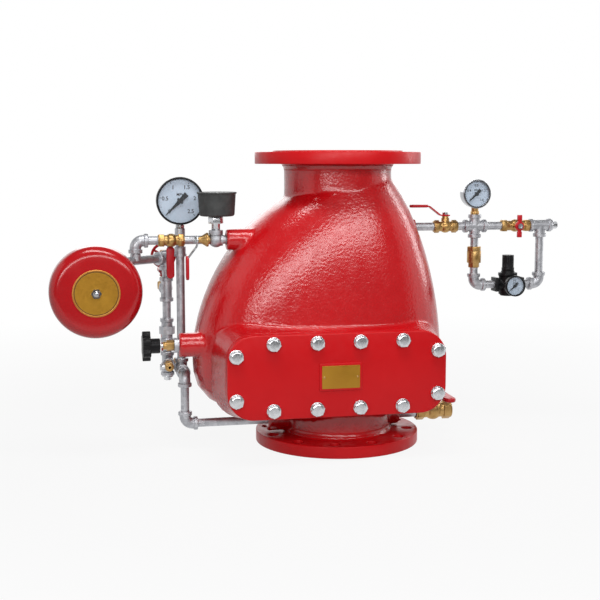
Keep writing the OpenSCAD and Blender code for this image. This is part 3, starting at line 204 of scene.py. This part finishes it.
def black_moulding():
    f = Finish("black_moulding", (0.006, 0.006, 0.007), roughness=0.42, Specular_IOR_Level=0.2)
    f.tone(f.noise(60, 3), [(0.3, (0.004, 0.004, 0.005)), (0.7, (0.009, 0.009, 0.010))])
    f.gloss(f.noise(240, 3), 0.32, 0.5)
    f.relief(f.noise(600, 2), 0.04, 0.6)
    return f.mat


def black_enamel():
    f = Finish("black_enamel", (0.010, 0.011, 0.013), roughness=0.26, Specular_IOR_Level=0.25)
    f.gloss(f.noise(180, 3), 0.2, 0.34)
    f.relief(f.noise(300, 2), 0.04, 0.5)
    return f.mat


def grey_hammered():
    f = Finish("grey_hammered", (0.050, 0.052, 0.052), roughness=0.55, Specular_IOR_Level=0.3)
    f.tone(f.noise(55, 5, 0.6), [(0.3, (0.036, 0.038, 0.038)), (0.7, (0.066, 0.069, 0.068))])
    f.gloss(f.noise(120, 4), 0.46, 0.66)
    f.relief(f.noise(240, 3), 0.2, 0.8)
    return f.mat


# Painted light: the lid's pale grey stands for light falling on the switch's top face
def painted_light_lid_grey():
    f = Finish("painted_light_lid_grey", (0.34, 0.35, 0.35), roughness=0.6)
    f.tone(f.noise(50, 4), [(0.3, (0.30, 0.31, 0.31)), (0.7, (0.40, 0.41, 0.41))])
    f.gloss(f.noise(120, 3), 0.5, 0.7)
    f.relief(f.noise(240, 3), 0.12, 0.6)
    return f.mat


def black_rubber():
    f = Finish("black_rubber", (0.014, 0.014, 0.014), roughness=0.75)
    f.tone(f.noise(80, 4), [(0.3, (0.010, 0.010, 0.010)), (0.7, (0.022, 0.021, 0.021))])
    f.relief(f.noise(400, 3), 0.08, 0.6)
    return f.mat


def dial_paint():
    f = Finish("dial_paint", (0.46, 0.55, 0.66), roughness=0.5)
    f.tone(f.noise(30, 2), [(0.3, (0.44, 0.53, 0.64)), (0.7, (0.49, 0.58, 0.69))])
    f.relief(f.noise(700, 2), 0.02, 0.4)
    return f.mat


def dial_ink():
    f = Finish("dial_ink", (0.02, 0.02, 0.024), roughness=0.5)
    f.tone(f.noise(400, 2), [(0.3, (0.015, 0.015, 0.02)), (0.7, (0.03, 0.03, 0.035))])
    return f.mat


def gauge_glass():
    f = Finish("gauge_glass", (0.70, 0.76, 0.82), roughness=0.03, Alpha=0.03)
    f.gloss(f.noise(60, 2), 0.02, 0.06)
    return f.mat


def label_gold():
    f = Finish("label_gold", (0.42, 0.205, 0.016), metallic=0.6, roughness=0.4)
    f.tone(f.noise(16, 3), [(0.3, (0.37, 0.175, 0.012)), (0.7, (0.47, 0.24, 0.020))])
    f.gloss(f.noise(260, 4), 0.3, 0.46)
    f.relief(f.noise(520, 2), 0.02, 0.5)
    return f.mat


def label_orange():
    f = Finish("label_orange", (0.50, 0.21, 0.035), metallic=0.5, roughness=0.36)
    f.tone(f.noise(30, 3), [(0.3, (0.44, 0.17, 0.025)), (0.7, (0.56, 0.25, 0.045))])
    f.gloss(f.noise(200, 3), 0.28, 0.42)
    return f.mat


def label_line():
    f = Finish("label_line", (0.10, 0.05, 0.008), metallic=0.4, roughness=0.45)
    f.tone(f.noise(60, 3), [(0.3, (0.08, 0.04, 0.006)), (0.7, (0.13, 0.065, 0.010))])
    return f.mat


FINISH = {
    "body_paint": cast_enamel(),
    "cover_paint": plate_enamel(),
    "bell_red": bell_enamel(),
    "lever_red": lever_vinyl(),
    "galvanised": galvanised_iron(),
    "zinc": zinc_plate(),
    "steel": turned_steel(),
    "brass": yellow_brass(),
    "bronze": cast_bronze(),
    "chrome": bright_chrome(),
    "black_plastic": black_moulding(),
    "black_enamel": black_enamel(),
    "grey_enamel": grey_hammered(),
    "rubber": black_rubber(),
    "dial": dial_paint(),
    "glass": gauge_glass(),
}
INK = dial_ink()
GOLD = label_gold()
ORANGE = label_orange()
LABEL_LINE = label_line()
PAINTED_LIGHT_LID = painted_light_lid_grey()

SLOT_OF = {row["node"]: row["material_slot"] for row in frame["record"]["subparts"]}
for node_name, node_object in nodes.items():
    node_object.data.materials.clear()
    node_object.data.materials.append(FINISH[SLOT_OF[node_name]])

# The gasket's edge is painted over with the casting
nodes["cover_gasket"].data.materials.clear()
nodes["cover_gasket"].data.materials.append(FINISH["cover_paint"])


# Mesh helpers: pieces are drawn in millimetres and scaled once when they are finished
def axes(origin, x_dir, z_dir):
    y_dir = z_dir.cross(x_dir)
    turn = Matrix((x_dir, y_dir, z_dir)).transposed().to_4x4()
    return Matrix.Translation(Vector(origin)) @ turn


def merge_in(bm, other):
    spare = bpy.data.meshes.new("spare")
    other.to_mesh(spare)
    other.free()
    bm.from_mesh(spare)
    bpy.data.meshes.remove(spare)


def finish_piece(name, bm, mat, body="valve", sharp=38, matrix=None, unit=MM, recalc=True):
    if recalc:
        bmesh.ops.recalc_face_normals(bm, faces=bm.faces)
    if matrix is not None:
        bmesh.ops.transform(bm, matrix=matrix, verts=bm.verts)
    bmesh.ops.scale(bm, vec=(unit, unit, unit), verts=bm.verts)
    for edge in bm.edges:
        if len(edge.link_faces) == 2:
            edge.smooth = edge.calc_face_angle(0) < math.radians(sharp)
    for face in bm.faces:
        face.smooth = True
    mesh = bpy.data.meshes.new(name)
    bm.to_mesh(mesh)
    bm.free()
    obj = bpy.data.objects.new(name, mesh)
    bpy.context.scene.collection.objects.link(obj)
    mesh.materials.append(mat)
    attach(obj, body)
    return obj


def round_edges(bm, edges, width, segments=2, clamp=False):
    """Edges of a mesh rounded over by a width."""
    bmesh.ops.bevel(
        bm, geom=edges, offset=width, segments=segments, profile=0.5, affect="EDGES", material=-1,
        clamp_overlap=clamp,
    )


def lathe(profile, rounds=(), steps=72, arc=4):
    """Profile of (radius, height) points turned about Z; rounds lists corners to round and their radii."""
    bm = bmesh.new()
    verts = [bm.verts.new((r, 0, z)) for r, z in profile]
    for pair in zip(verts, verts[1:]):
        bm.edges.new(pair)
    for index, radius in rounds:
        bmesh.ops.bevel(
            bm, geom=[verts[index]], offset=radius, segments=arc, profile=0.5, affect="VERTICES", material=-1
        )
    bmesh.ops.spin(
        bm, geom=bm.verts[:] + bm.edges[:], cent=(0, 0, 0), axis=(0, 0, 1), angle=math.tau, steps=steps,
        use_merge=True,
    )
    bmesh.ops.remove_doubles(bm, verts=bm.verts, dist=1e-4)
    return bm


def rounded_plate(w, h, corner, t, edge, arc=12, both=False):
    """Plate about the origin from z 0 to t, with rounded corners and a rounded upper edge."""
    bm = bmesh.new()
    bmesh.ops.create_grid(bm, x_segments=1, y_segments=1, size=0.5)
    bmesh.ops.scale(bm, vec=(w, h, 1), verts=bm.verts)
    bmesh.ops.bevel(
        bm, geom=bm.verts[:], offset=corner, segments=arc, profile=0.5, affect="VERTICES", material=-1
    )
    grown = bmesh.ops.extrude_face_region(bm, geom=bm.faces[:])
    top = [v for v in grown["geom"] if isinstance(v, bmesh.types.BMVert)]
    bmesh.ops.translate(bm, vec=(0, 0, t), verts=top)
    levels = (t,) if not both else (0, t)
    rim = [e for e in bm.edges if any(all(abs(v.co.z - z) < 1e-6 for v in e.verts) for z in levels)]
    if edge > 0:
        round_edges(bm, rim, edge, segments=3, clamp=True)
    return bm


def prism(sides, radius, low, high, edge=0.0, turn=0.0):
    """Upright prism with rounded end edges."""
    bm = bmesh.new()
    bmesh.ops.create_circle(bm, cap_ends=True, radius=radius, segments=sides)
    bmesh.ops.rotate(bm, cent=(0, 0, 0), matrix=Matrix.Rotation(turn, 3, "Z"), verts=bm.verts)
    grown = bmesh.ops.extrude_face_region(bm, geom=bm.faces[:])
    top = [v for v in grown["geom"] if isinstance(v, bmesh.types.BMVert)]
    bmesh.ops.translate(bm, vec=(0, 0, high - low), verts=top)
    bmesh.ops.translate(bm, vec=(0, 0, low), verts=bm.verts)
    if edge > 0:
        round_edges(bm, bm.edges[:], edge)
    return bm


def softened(node, width, angle=32, body="valve"):
    """Copy of a rigid solid with its machined edges broken by a small round."""
    bm = bmesh.new()
    bm.from_mesh(nodes[node].data)
    bmesh.ops.remove_doubles(bm, verts=bm.verts, dist=2e-5)
    bmesh.ops.dissolve_limit(bm, angle_limit=0.008, verts=bm.verts, edges=bm.edges)
    edges = [e for e in bm.edges if len(e.link_faces) == 2 and e.calc_face_angle(0) > math.radians(angle)]
    round_edges(bm, edges, width * MM)
    slot = SLOT_OF[node]
    obj = finish_piece(node + "_finished", bm, FINISH[slot], body, unit=1.0, recalc=False)
    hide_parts(node)
    return obj


# Casting: the solid without its flange discs, remeshed so that facets and joints flow like sand-cast iron
FLANGE_R, BORE_R = 170, 100
RAISED_FACE_R, RAISED_FACE_H = 133, 3
FLANGE_T = 24
FLANGE_BACK = RAISED_FACE_H + FLANGE_T
BOLT_COUNT, BOLT_CIRCLE_R, BOLT_HOLE_R = 12, 147.5, 11
BODY_H = 606.0
CAST_VOXEL = 3.2
CAST_SHARE = 0.42
CREASE_ANGLE = math.radians(7)
CREASE_ROUNDS = 1
FLANK_ROUNDS = 26


def casting():
    bm = bmesh.new()
    bm.from_mesh(nodes["valve_body"].data)
    bmesh.ops.remove_doubles(bm, verts=bm.verts, dist=1e-5)
    for height, side in ((FLANGE_BACK + 1.5, -1), (BODY_H - FLANGE_BACK - 1.5, 1)):
        cut = bmesh.ops.bisect_plane(
            bm, geom=bm.verts[:] + bm.edges[:] + bm.faces[:],
            plane_co=(0, 0, height * MM), plane_no=(0, 0, side), clear_outer=True,
        )
        rim = [e for e in cut["geom_cut"] if isinstance(e, bmesh.types.BMEdge)]
        bmesh.ops.triangle_fill(bm, use_beauty=True, edges=rim)
    even = reworked(bm, "REMESH", mode="VOXEL", voxel_size=CAST_VOXEL * MM)
    bm = bmesh.new()
    bm.from_mesh(even)
    smooth_rounds(bm, bm.verts[:], CREASE_ROUNDS)
    soft = [v for v in bm.verts if max(e.calc_face_angle(0) for e in v.link_edges) < CREASE_ANGLE]
    smooth_rounds(bm, soft, FLANK_ROUNDS)
    smooth_rounds(bm, bm.verts[:], CREASE_ROUNDS)
    thin = reworked(bm, "DECIMATE", ratio=CAST_SHARE)
    bm = bmesh.new()
    bm.from_mesh(thin)
    paint = FINISH["body_paint"]
    obj = finish_piece("cast_shell", bm, paint, sharp=180, unit=1.0, recalc=False)
    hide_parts("valve_body")


def reworked(bm, kind, **settings):
    """Mesh that one modifier makes of bm."""
    mesh = bpy.data.meshes.new("rough_shell")
    bm.to_mesh(mesh)
    bm.free()
    obj = bpy.data.objects.new("rough_shell", mesh)
    bpy.context.scene.collection.objects.link(obj)
    modifier = obj.modifiers.new(kind.lower(), kind)
    for key, value in settings.items():
        setattr(modifier, key, value)
    bpy.context.view_layer.update()
    result = bpy.data.meshes.new_from_object(obj.evaluated_get(bpy.context.evaluated_depsgraph_get()))
    bpy.data.objects.remove(obj)
    return result


def smooth_rounds(bm, verts, rounds):
    for _ in range(rounds):
        bmesh.ops.smooth_vert(bm, verts=verts, factor=0.5, use_axis_x=True, use_axis_y=True, use_axis_z=True)


def flange_disc(name, matrix):
    bm = bmesh.new()
    for radius, segments in ((FLANGE_R, 144), (BORE_R, 96)):
        bmesh.ops.create_circle(bm, cap_ends=False, radius=radius, segments=segments)
    apart = 360 / BOLT_COUNT
    for k in range(BOLT_COUNT):
        angle = math.radians(apart * (k + 0.5))
        spot = Matrix.Translation((BOLT_CIRCLE_R * math.cos(angle), BOLT_CIRCLE_R * math.sin(angle), 0))
        bmesh.ops.create_circle(bm, cap_ends=False, radius=BOLT_HOLE_R, segments=28, matrix=spot)
    bmesh.ops.triangle_fill(bm, use_beauty=True, edges=bm.edges[:])
    grown = bmesh.ops.extrude_face_region(bm, geom=bm.faces[:])
    top = [v for v in grown["geom"] if isinstance(v, bmesh.types.BMVert)]
    bmesh.ops.translate(bm, vec=(0, 0, FLANGE_T), verts=top)
    bmesh.ops.translate(bm, vec=(0, 0, RAISED_FACE_H), verts=bm.verts)
    sharp = [e for e in bm.edges if len(e.link_faces) == 2 and e.calc_face_angle(0) > math.radians(60)]
    round_edges(bm, sharp, 1.6, segments=3, clamp=True)
    face = [(BORE_R, 4), (BORE_R, 0), (RAISED_FACE_R, 0), (RAISED_FACE_R, 4)]
    merge_in(bm, lathe(face, [(2, 0.8)], steps=96, arc=2))
    hub = [(BORE_R, 26), (122, 26), (110.3, 26.6), (110.3, 40), (BORE_R, 40)]
    merge_in(bm, lathe(hub, [(2, 10)], steps=96, arc=8))
    return finish_piece(name, bm, FINISH["cover_paint"], matrix=matrix, sharp=30)


casting()
flange_disc("inlet_flange_disc", Matrix.Identity(4))
upside_down = Matrix.Rotation(math.pi, 4, "X")
flange_disc("outlet_flange_disc", axes((0, 0, BODY_H), RIGHT, UP) @ upside_down)

# Hand-hole cover, its bolts and the bare plate
COVER_C = Vector((-42, -190, 175.5))
COVER_T = 16


def on_cover(x, z, lift=0.0):
    return axes((x, COVER_C.y - lift, z), RIGHT, FRONT)


def cover():
    bm = rounded_plate(434, 164, 52, COVER_T, 2.4, arc=16)
    place = on_cover(COVER_C.x, COVER_C.z, -COVER_T)
    obj = finish_piece("hand_hole_plate", bm, FINISH["cover_paint"], matrix=place)
    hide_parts("handhole_cover")


def cover_bolts():
    bm = bmesh.new()
    spots = [(k * 85.2, s * 64.5) for k in (-1.5, -0.5, 0.5, 1.5) for s in (-1, 1)]
    spots += [(k * 199.5, s * 42.8) for k in (-1, 1) for s in (-1, 1)]
    for number, (x, z) in enumerate(spots):
        head = prism(6, 24 / 2 / math.cos(math.pi / 6), 2.0, 8.9, edge=0.4, turn=0.37 * number)
        merge_in(head, lathe([(0, 2.4), (14.0, 2.4), (14.0, 0), (0, 0)], [(1, 0.9)], steps=40, arc=2))
        cap = [(0, 10.4), (8.8, 10.4), (12.7, 8.4), (12.7, 7.8)]
        merge_in(head, lathe(cap, [(1, 0.5), (2, 0.4)], steps=48, arc=2))
        bmesh.ops.transform(head, matrix=on_cover(COVER_C.x + x, COVER_C.z + z), verts=head.verts)
        merge_in(bm, head)
    obj = finish_piece("cover_bolt_heads", bm, FINISH["zinc"], sharp=32)
    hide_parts("cover_bolts")


def rating_plate():
    x, z, pad_t = -38.5, 172.7, 2.6
    pad = rounded_plate(85, 54, 3, pad_t, 1.3, arc=4)
    finish_piece("rating_plate_pad", pad, FINISH["cover_paint"], matrix=on_cover(x, z, 0.0))
    plate = rounded_plate(75, 44.5, 1.5, 0.8, 0.3, arc=3)
    finish_piece("blank_rating_plate", plate, GOLD, matrix=on_cover(x, z, pad_t))
    rivets = bmesh.new()
    for s in (-1, 1):
        rivet = lathe([(0, 2.0), (1.6, 1.5), (2.2, 0.9), (2.2, 0.5)], steps=20)
        bmesh.ops.transform(rivet, matrix=on_cover(x + s * 33, z, pad_t), verts=rivet.verts)
        merge_in(rivets, rivet)
    finish_piece("rating_plate_rivets", rivets, FINISH["brass"])


cover()
cover_bolts()
rating_plate()

# Levers: a steel strap with a dipped grip
LEVER_L = 78.0
BONNET_H = 22.0


def lever(name, node, body, origin, x_dir, z_dir, top, rise, scale=1.0, strap_mat="zinc", grip_from=None):
    bottom = top + 0.3
    ramp_from, ramp_to = 11.0, 17.0 + rise
    strap = bmesh.new()
    edge = [strap.verts.new((-8.5, y, bottom)) for y in (-6.2, 6.2)]
    run = [strap.edges.new(edge)]
    for x, z in ((ramp_from, bottom), (ramp_to, bottom + rise), (LEVER_L - 4, bottom + rise)):
        grown = bmesh.ops.extrude_edge_only(strap, edges=run)["geom"]
        run = [e for e in grown if isinstance(e, bmesh.types.BMEdge)]
        for vert in (v for v in grown if isinstance(v, bmesh.types.BMVert)):
            vert.co.x, vert.co.z = x, z
    bends = [e for e in strap.edges if len(e.link_faces) == 2]
    if rise > 0:
        bmesh.ops.bevel(strap, geom=bends, offset=3.5, segments=4, profile=0.5, affect="EDGES", material=-1)
    bmesh.ops.recalc_face_normals(strap, faces=strap.faces)
    bmesh.ops.solidify(strap, geom=strap.faces[:], thickness=2.6)
    low = min(v.co.z for v in strap.verts)
    bmesh.ops.translate(strap, vec=(0, 0, bottom - low), verts=strap.verts)
    merge_in(strap, prism(40, 9, bottom, bottom + 2.9, edge=0.4))
    place = axes(origin, x_dir, z_dir) @ Matrix.Scale(scale, 4)
    plate = finish_piece(name + "_strap", strap, FINISH[strap_mat], body, matrix=place, sharp=30)
    start = ramp_to + 2 if grip_from is None else grip_from
    grip = rounded_plate(LEVER_L + 2 - start, 16, 7.9, 6, 2.2, arc=8, both=True)
    bmesh.ops.translate(grip, vec=((LEVER_L + 2 + start) / 2, 0, bottom + rise - 1.5), verts=grip.verts)
    red = FINISH["lever_red"]
    sleeve = finish_piece(name + "_grip", grip, red, body, matrix=place, sharp=50)
    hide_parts(node)
    return plate, sleeve


lever(
    "switch_lever", "switch_valve_lever", "switch_lever", (-258, -40, 430), DOWN, LEFT, 35.5, 20, grip_from=32
)
lever("gong_lever", "gong_valve_lever", "gong_lever", (-343, 0, 427), DOWN, BACK, BONNET_H, 0, grip_from=14)
lever(
    "air_lever", "air_valve_lever", "air_lever", (245, 30, 446), LEFT, UP, BONNET_H, 20, strap_mat="lever_red"
)
lever("drain_lever", "drain_valve_lever", "drain_lever", (212.5, 0, 54), FRONT, UP, BONNET_H, 6, scale=1.5)


# Gauges: turned cases with a bezel, and printed dials
DIAL_FACE = -6.9
POINTER_RISE = 2.0


def gauge(name, node, center, d, depth, case, stem=None, stem_d=0.0, stem_l=0.0, rim=4.2):
    half, inside = d / 2, d / 2 - rim
    bm = lathe(
        [(0, -depth), (half - 1.5, -depth), (half - 1.5, -9.8), (half, -9), (half, 0), (inside, 0),
         (inside, -0.8), (inside + 1.6, -0.9), (inside + 1.6, -3), (inside + 0.2, -3),
         (inside + 0.2, -9.9), (0, -9.9)],
        [(1, 2.0), (3, 0.5), (4, 1.3), (5, 0.3)], steps=72,
    )
    face = lathe([(1.6, DIAL_FACE - 0.1), (inside + 0.1, DIAL_FACE - 0.1)], steps=72)
    slot = SLOT_OF["gauge_dials"]
    finish_piece(name + "_face", face, FINISH[slot], matrix=axes(center, RIGHT, FRONT))
    if stem is None:
        merge_in(bm, lathe([(5.5, -depth + 1), (5.5, -depth - 14), (0, -depth - 14)], steps=32))
    shell = finish_piece(name + "_shell", bm, FINISH[case], matrix=axes(center, RIGHT, FRONT), sharp=40)
    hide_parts(node)
    if stem is not None:
        stem_r = stem_d / 2
        neck = [(stem_r, -2.6), (stem_r, stem_l - 7), (stem_r - 1, stem_l - 7)]
        bm = lathe(neck, [(1, 0.4)], steps=40, arc=2)
        merge_in(bm, prism(6, (stem_d + 1) / 2 / math.cos(math.pi / 6), stem_l - 7, stem_l, edge=0.5))
        merge_in(bm, lathe([(0, stem_l + 11), (8.6, stem_l + 11), (8.6, stem_l - 1)], steps=40))
        foot = axes((center[0], center[1] + depth / 2, center[2] - half), RIGHT, DOWN)
        finish_piece(name + "_stem", bm, FINISH[stem], matrix=foot, sharp=32)


def figure(words, size, weight):
    curve = bpy.data.curves.new("figure", "FONT")
    curve.body = words
    curve.size = size
    curve.offset = weight
    curve.align_x = "CENTER"
    curve.align_y = "CENTER"
    obj = bpy.data.objects.new("figure", curve)
    bpy.context.scene.collection.objects.link(obj)
    bpy.context.view_layer.update()
    flat = bpy.data.meshes.new_from_object(obj.evaluated_get(bpy.context.evaluated_depsgraph_get()))
    bpy.data.objects.remove(obj)
    return flat


def dial_print(name, center, d, labels, ticks):
    radius = d / 2 - 4
    bm = bmesh.new()
    for k in range(ticks):
        angle = math.radians(225 - 270 * k / (ticks - 1))
        wide = 1.0 if k % 2 == 0 else 0.6
        spot = Matrix.Rotation(angle, 4, "Z") @ Matrix.Translation((radius - d * 0.045, 0, 0))
        bar = spot @ Matrix.Diagonal((d * 0.038 * wide, d * 0.014 * wide, 0.1, 1))
        bmesh.ops.create_cube(bm, size=1.0, matrix=bar)
    apart = 270 / (len(labels) - 1)
    words = [(text, 0.115, 225 - apart * k, radius - d * 0.145) for k, text in enumerate(labels)]
    words.append(("MPa", 0.085, 90, d * 0.13))
    for text, share, turn, r in words:
        flat = figure(text, d * share, d * 0.0022)
        angle = math.radians(turn)
        flat.transform(Matrix.Translation((r * math.cos(angle), r * math.sin(angle), 0)))
        bm.from_mesh(flat)
        bpy.data.meshes.remove(flat)
    bmesh.ops.remove_doubles(bm, verts=bm.verts, dist=1e-4)
    place = axes(center, RIGHT, FRONT) @ Matrix.Translation((0, 0, DIAL_FACE))
    finish_piece(name, bm, INK, matrix=place, recalc=False)


def pointer(node, body, center):
    """The solid's pointer, broader across its blade and raised with the dial face."""
    bm = bmesh.new()
    bm.from_mesh(nodes[node].data)
    middle = Vector(center) * MM
    tip = max(bm.verts, key=lambda v: (v.co - middle).xz.length).co - middle
    across = Vector((tip.z, 0, -tip.x)).normalized()
    for v in bm.verts:
        v.co += across * (v.co - middle).dot(across) * 0.9 + FRONT * POINTER_RISE * MM
    slot = SLOT_OF[node]
    obj = finish_piece(node + "_blade", bm, FINISH[slot], body, unit=1.0, recalc=False)
    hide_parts(node)


WATER_GAUGE, AIR_GAUGE, REGULATOR_GAUGE = (-321, 25, 504.5), (311.5, 16, 515), (390, -17, 319)
gauge("water_gauge", "water_gauge_case", WATER_GAUGE, 97, 34, "black_enamel", "steel", 16, 8)
gauge("air_gauge", "air_gauge_case", AIR_GAUGE, 62, 28, "chrome", "brass", 15, 13)
gauge("regulator_gauge", "regulator_gauge_case", REGULATOR_GAUGE, 45, 17, "black_plastic", rim=3.0)
pointer("water_gauge_pointer", "water_pointer", WATER_GAUGE)
pointer("air_gauge_pointer", "air_pointer", AIR_GAUGE)
pointer("regulator_gauge_pointer", "regulator_pointer", REGULATOR_GAUGE)
dial_print("water_dial_print", WATER_GAUGE, 97, ["0", "0.5", "1", "1.5", "2", "2.5"], 11)
dial_print("air_dial_print", AIR_GAUGE, 62, ["0", "0.4", "0.8", "1.2", "1.6"], 9)
dial_print("regulator_dial_print", REGULATOR_GAUGE, 45, ["0", "0.5", "1"], 11)

# Gong: bell and bare label; the acorn nut is the solid's own
GONG = Vector((-496, -60, 335))


def gong():
    place = axes(GONG, RIGHT, FRONT)
    bm = lathe(
        [(86.4, 6), (86.4, 0), (89.5, 0), (88.4, 43.5), (60, 44.8), (5.1, 45), (5.1, 42), (60, 41.8),
         (85.6, 40.5), (86.4, 6)],
        [(3, 19), (8, 16), (2, 1.4)], steps=96, arc=10,
    )
    bell = finish_piece("bell_shell", bm, FINISH["bell_red"], matrix=place, sharp=50)
    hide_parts("gong_bell")
    disc = lathe([(5.2, 45.0), (5.2, 45.5), (40.6, 45.5), (40.6, 44.6)], steps=72)
    finish_piece("bare_label", disc, GOLD, matrix=place)
    groove = lathe([(40.4, 45.2), (42.4, 45.2)], steps=72)
    finish_piece("label_groove", groove, LABEL_LINE, matrix=place)
    bead = [(42.2, 44.4), (42.2, 46.0), (45.4, 46.0), (45.8, 44.2)]
    ring = lathe(bead, [(1, 0.4), (2, 0.5)], steps=72, arc=2)
    finish_piece("label_rim", ring, ORANGE, matrix=place)


gong()


# Pressure switch: a drawn can with a rolled lip, and a lid coloured paler grey as painted light on its top
# face
def pressure_switch():
    place = axes((-255.5, -40, 475), RIGHT, UP)
    can = lathe(
        [(0, 0), (9, 0), (12, 1.5), (34.8, 1.5), (37.6, 45.5), (39.4, 46.2), (39.4, 49), (37.4, 49),
         (37.0, 47), (0, 46.6)],
        [(3, 4.5), (4, 0.8), (5, 0.8), (6, 0.8), (7, 0.6)], steps=80, arc=4,
    )
    obj = finish_piece("switch_can", can, FINISH["grey_enamel"], matrix=place, sharp=50)
    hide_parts("pressure_switch")
    lid = lathe([(0, 47.2), (30, 47.3), (36.9, 48.2), (36.9, 46.8)], [(1, 4)], steps=72)
    # The lid's paler grey is painted light on the top face
    finish_piece("switch_lid", lid, PAINTED_LIGHT_LID, matrix=place, sharp=50)


pressure_switch()

# Pieces that only have their edges broken
for node_name, width in (
    ("switch_valve_bonnet", 0.6), ("gong_valve_body", 0.6), ("air_valve_body", 0.6),
    ("bypass_valve_body", 0.6), ("test_valve_body", 0.6), ("return_valve_body", 0.6),
    ("drain_valve_body", 0.9), ("check_valve_body", 0.7), ("regulator_body", 1.0),
    ("wheel_valve_body", 0.6), ("drain_cock_body", 0.5), ("needle_valve_body", 0.5),
    ("trim_plugs", 0.6), ("pressure_switch_base", 0.6), ("gong_motor_housing", 1.6),
):
    softened(node_name, width)
softened("needle_valve_knob", 1.4, body="needle_knob")
softened("regulator_knob", 0.5, body="adjuster")
softened("bypass_valve_handle", 1.0, body="bypass_butterfly")
softened("drain_cock_key", 0.5, body="cock_key")

# Camera, floor and light
camera_data = bpy.data.cameras.new("camera")
camera_data.lens = 66.92
camera_data.sensor_width = 36.0
camera = bpy.data.objects.new("camera", camera_data)
bpy.context.scene.collection.objects.link(camera)
camera.location = Vector((-553.0, -2241.4, 586.9)) * MM
aim = Vector((-78.67, 0, 299.31)) * MM - camera.location
camera.rotation_euler = aim.to_track_quat("-Z", "Y").to_euler()
bpy.context.scene.camera = camera

SWEEP_R = 6.0
SWEEP_H = 5.0
SWEEP_TURN = (-25.0, 205.0)
FLOOR_FRONT = (2.4, -1.27)
NEAR_WHITE = 0.9
ROOM_LIGHT = 0.2


def background_rays(tree):
    """1 where a ray from the camera, a gloss or a glass meets the background, and 0 where light does."""
    rays = tree.nodes.new("ShaderNodeLightPath")
    total = rays.outputs["Is Camera Ray"]
    for kind in ("Is Glossy Ray", "Is Transmission Ray"):
        either = tree.nodes.new("ShaderNodeMath")
        either.operation = "MAXIMUM"
        tree.links.new(total, either.inputs[0])
        tree.links.new(rays.outputs[kind], either.inputs[1])
        total = either.outputs[0]
    return total


def white_sweep():
    """A floor that ends below the picture and a curved wall behind and beside it; the front stays open."""
    bm = bmesh.new()
    first, last = SWEEP_TURN
    turns = [math.radians(first + (last - first) * i / 46) for i in range(47)]
    low = [bm.verts.new((SWEEP_R * math.cos(t), SWEEP_R * math.sin(t), 0)) for t in turns]
    high = [bm.verts.new((v.co.x, v.co.y, SWEEP_H)) for v in low]
    x, y = FLOOR_FRONT
    bm.faces.new(low + [bm.verts.new((-x, y, 0)), bm.verts.new((x, y, 0))])
    for i in range(46):
        bm.faces.new((low[i], low[i + 1], high[i + 1], high[i]))
    mesh = bpy.data.meshes.new("floor")
    bm.to_mesh(mesh)
    bm.free()
    obj = bpy.data.objects.new("floor", mesh)
    bpy.context.scene.collection.objects.link(obj)
    f = Finish("floor_white", (0.45, 0.45, 0.45), roughness=0.9)
    white = f.tree.nodes.new("ShaderNodeEmission")
    distance = f.tree.nodes.new("ShaderNodeVectorMath")
    distance.operation = "LENGTH"
    f.tree.links.new(f.coords, distance.inputs[0])
    share = f.span(distance.outputs["Value"], NEAR_WHITE, 1.0, 0.7, 2.0)
    seen = f.tree.nodes.new("ShaderNodeMath")
    seen.operation = "MULTIPLY"
    f.tree.links.new(background_rays(f.tree), seen.inputs[0])
    f.tree.links.new(share, seen.inputs[1])
    mix = f.tree.nodes.new("ShaderNodeMixShader")
    f.tree.links.new(seen.outputs[0], mix.inputs["Fac"])
    f.tree.links.new(f.shader.outputs[0], mix.inputs[1])
    f.tree.links.new(white.outputs[0], mix.inputs[2])
    f.tree.links.new(mix.outputs[0], f.tree.nodes["Material Output"].inputs["Surface"])
    mesh.materials.append(f.mat)


def studio_world():
    """A dim room around the white floor and wall."""
    world = bpy.data.worlds.new("studio")
    bpy.context.scene.world = world
    world.use_nodes = True
    background = world.node_tree.nodes["Background"]
    background.inputs["Color"].default_value = (1, 1, 1, 1)
    background.inputs["Strength"].default_value = ROOM_LIGHT


def softbox(name, place, target, size, power, roll=0.0):
    data = bpy.data.lights.new(name, "AREA")
    data.shape = "RECTANGLE"
    data.size, data.size_y = size
    data.energy = power
    obj = bpy.data.objects.new(name, data)
    bpy.context.scene.collection.objects.link(obj)
    obj.location = Vector(place)
    look = (Vector(target) - obj.location).to_track_quat("-Z", "Y").to_matrix()
    obj.rotation_euler = (look @ Matrix.Rotation(math.radians(roll), 3, "Z")).to_euler()


white_sweep()
studio_world()
softbox("front_strip", (-0.2, -1.75, 0.98), (-0.05, 0, 0.38), (2.9, 0.34), 25, roll=13.5)
softbox("key_light", (-0.3, -0.65, 1.95), (0, 0, 0.3), (1.3, 0.4), 20)
softbox("rim_light", (1.5, 0.3, 0.9), (0.1, 0, 0.3), (0.3, 1.0), 6)
softbox("back_fill", (0.3, 2.1, 1.2), (0, 0, 0.3), (2.2, 1.2), 14)

bpy.context.scene.view_settings.view_transform = "Standard"
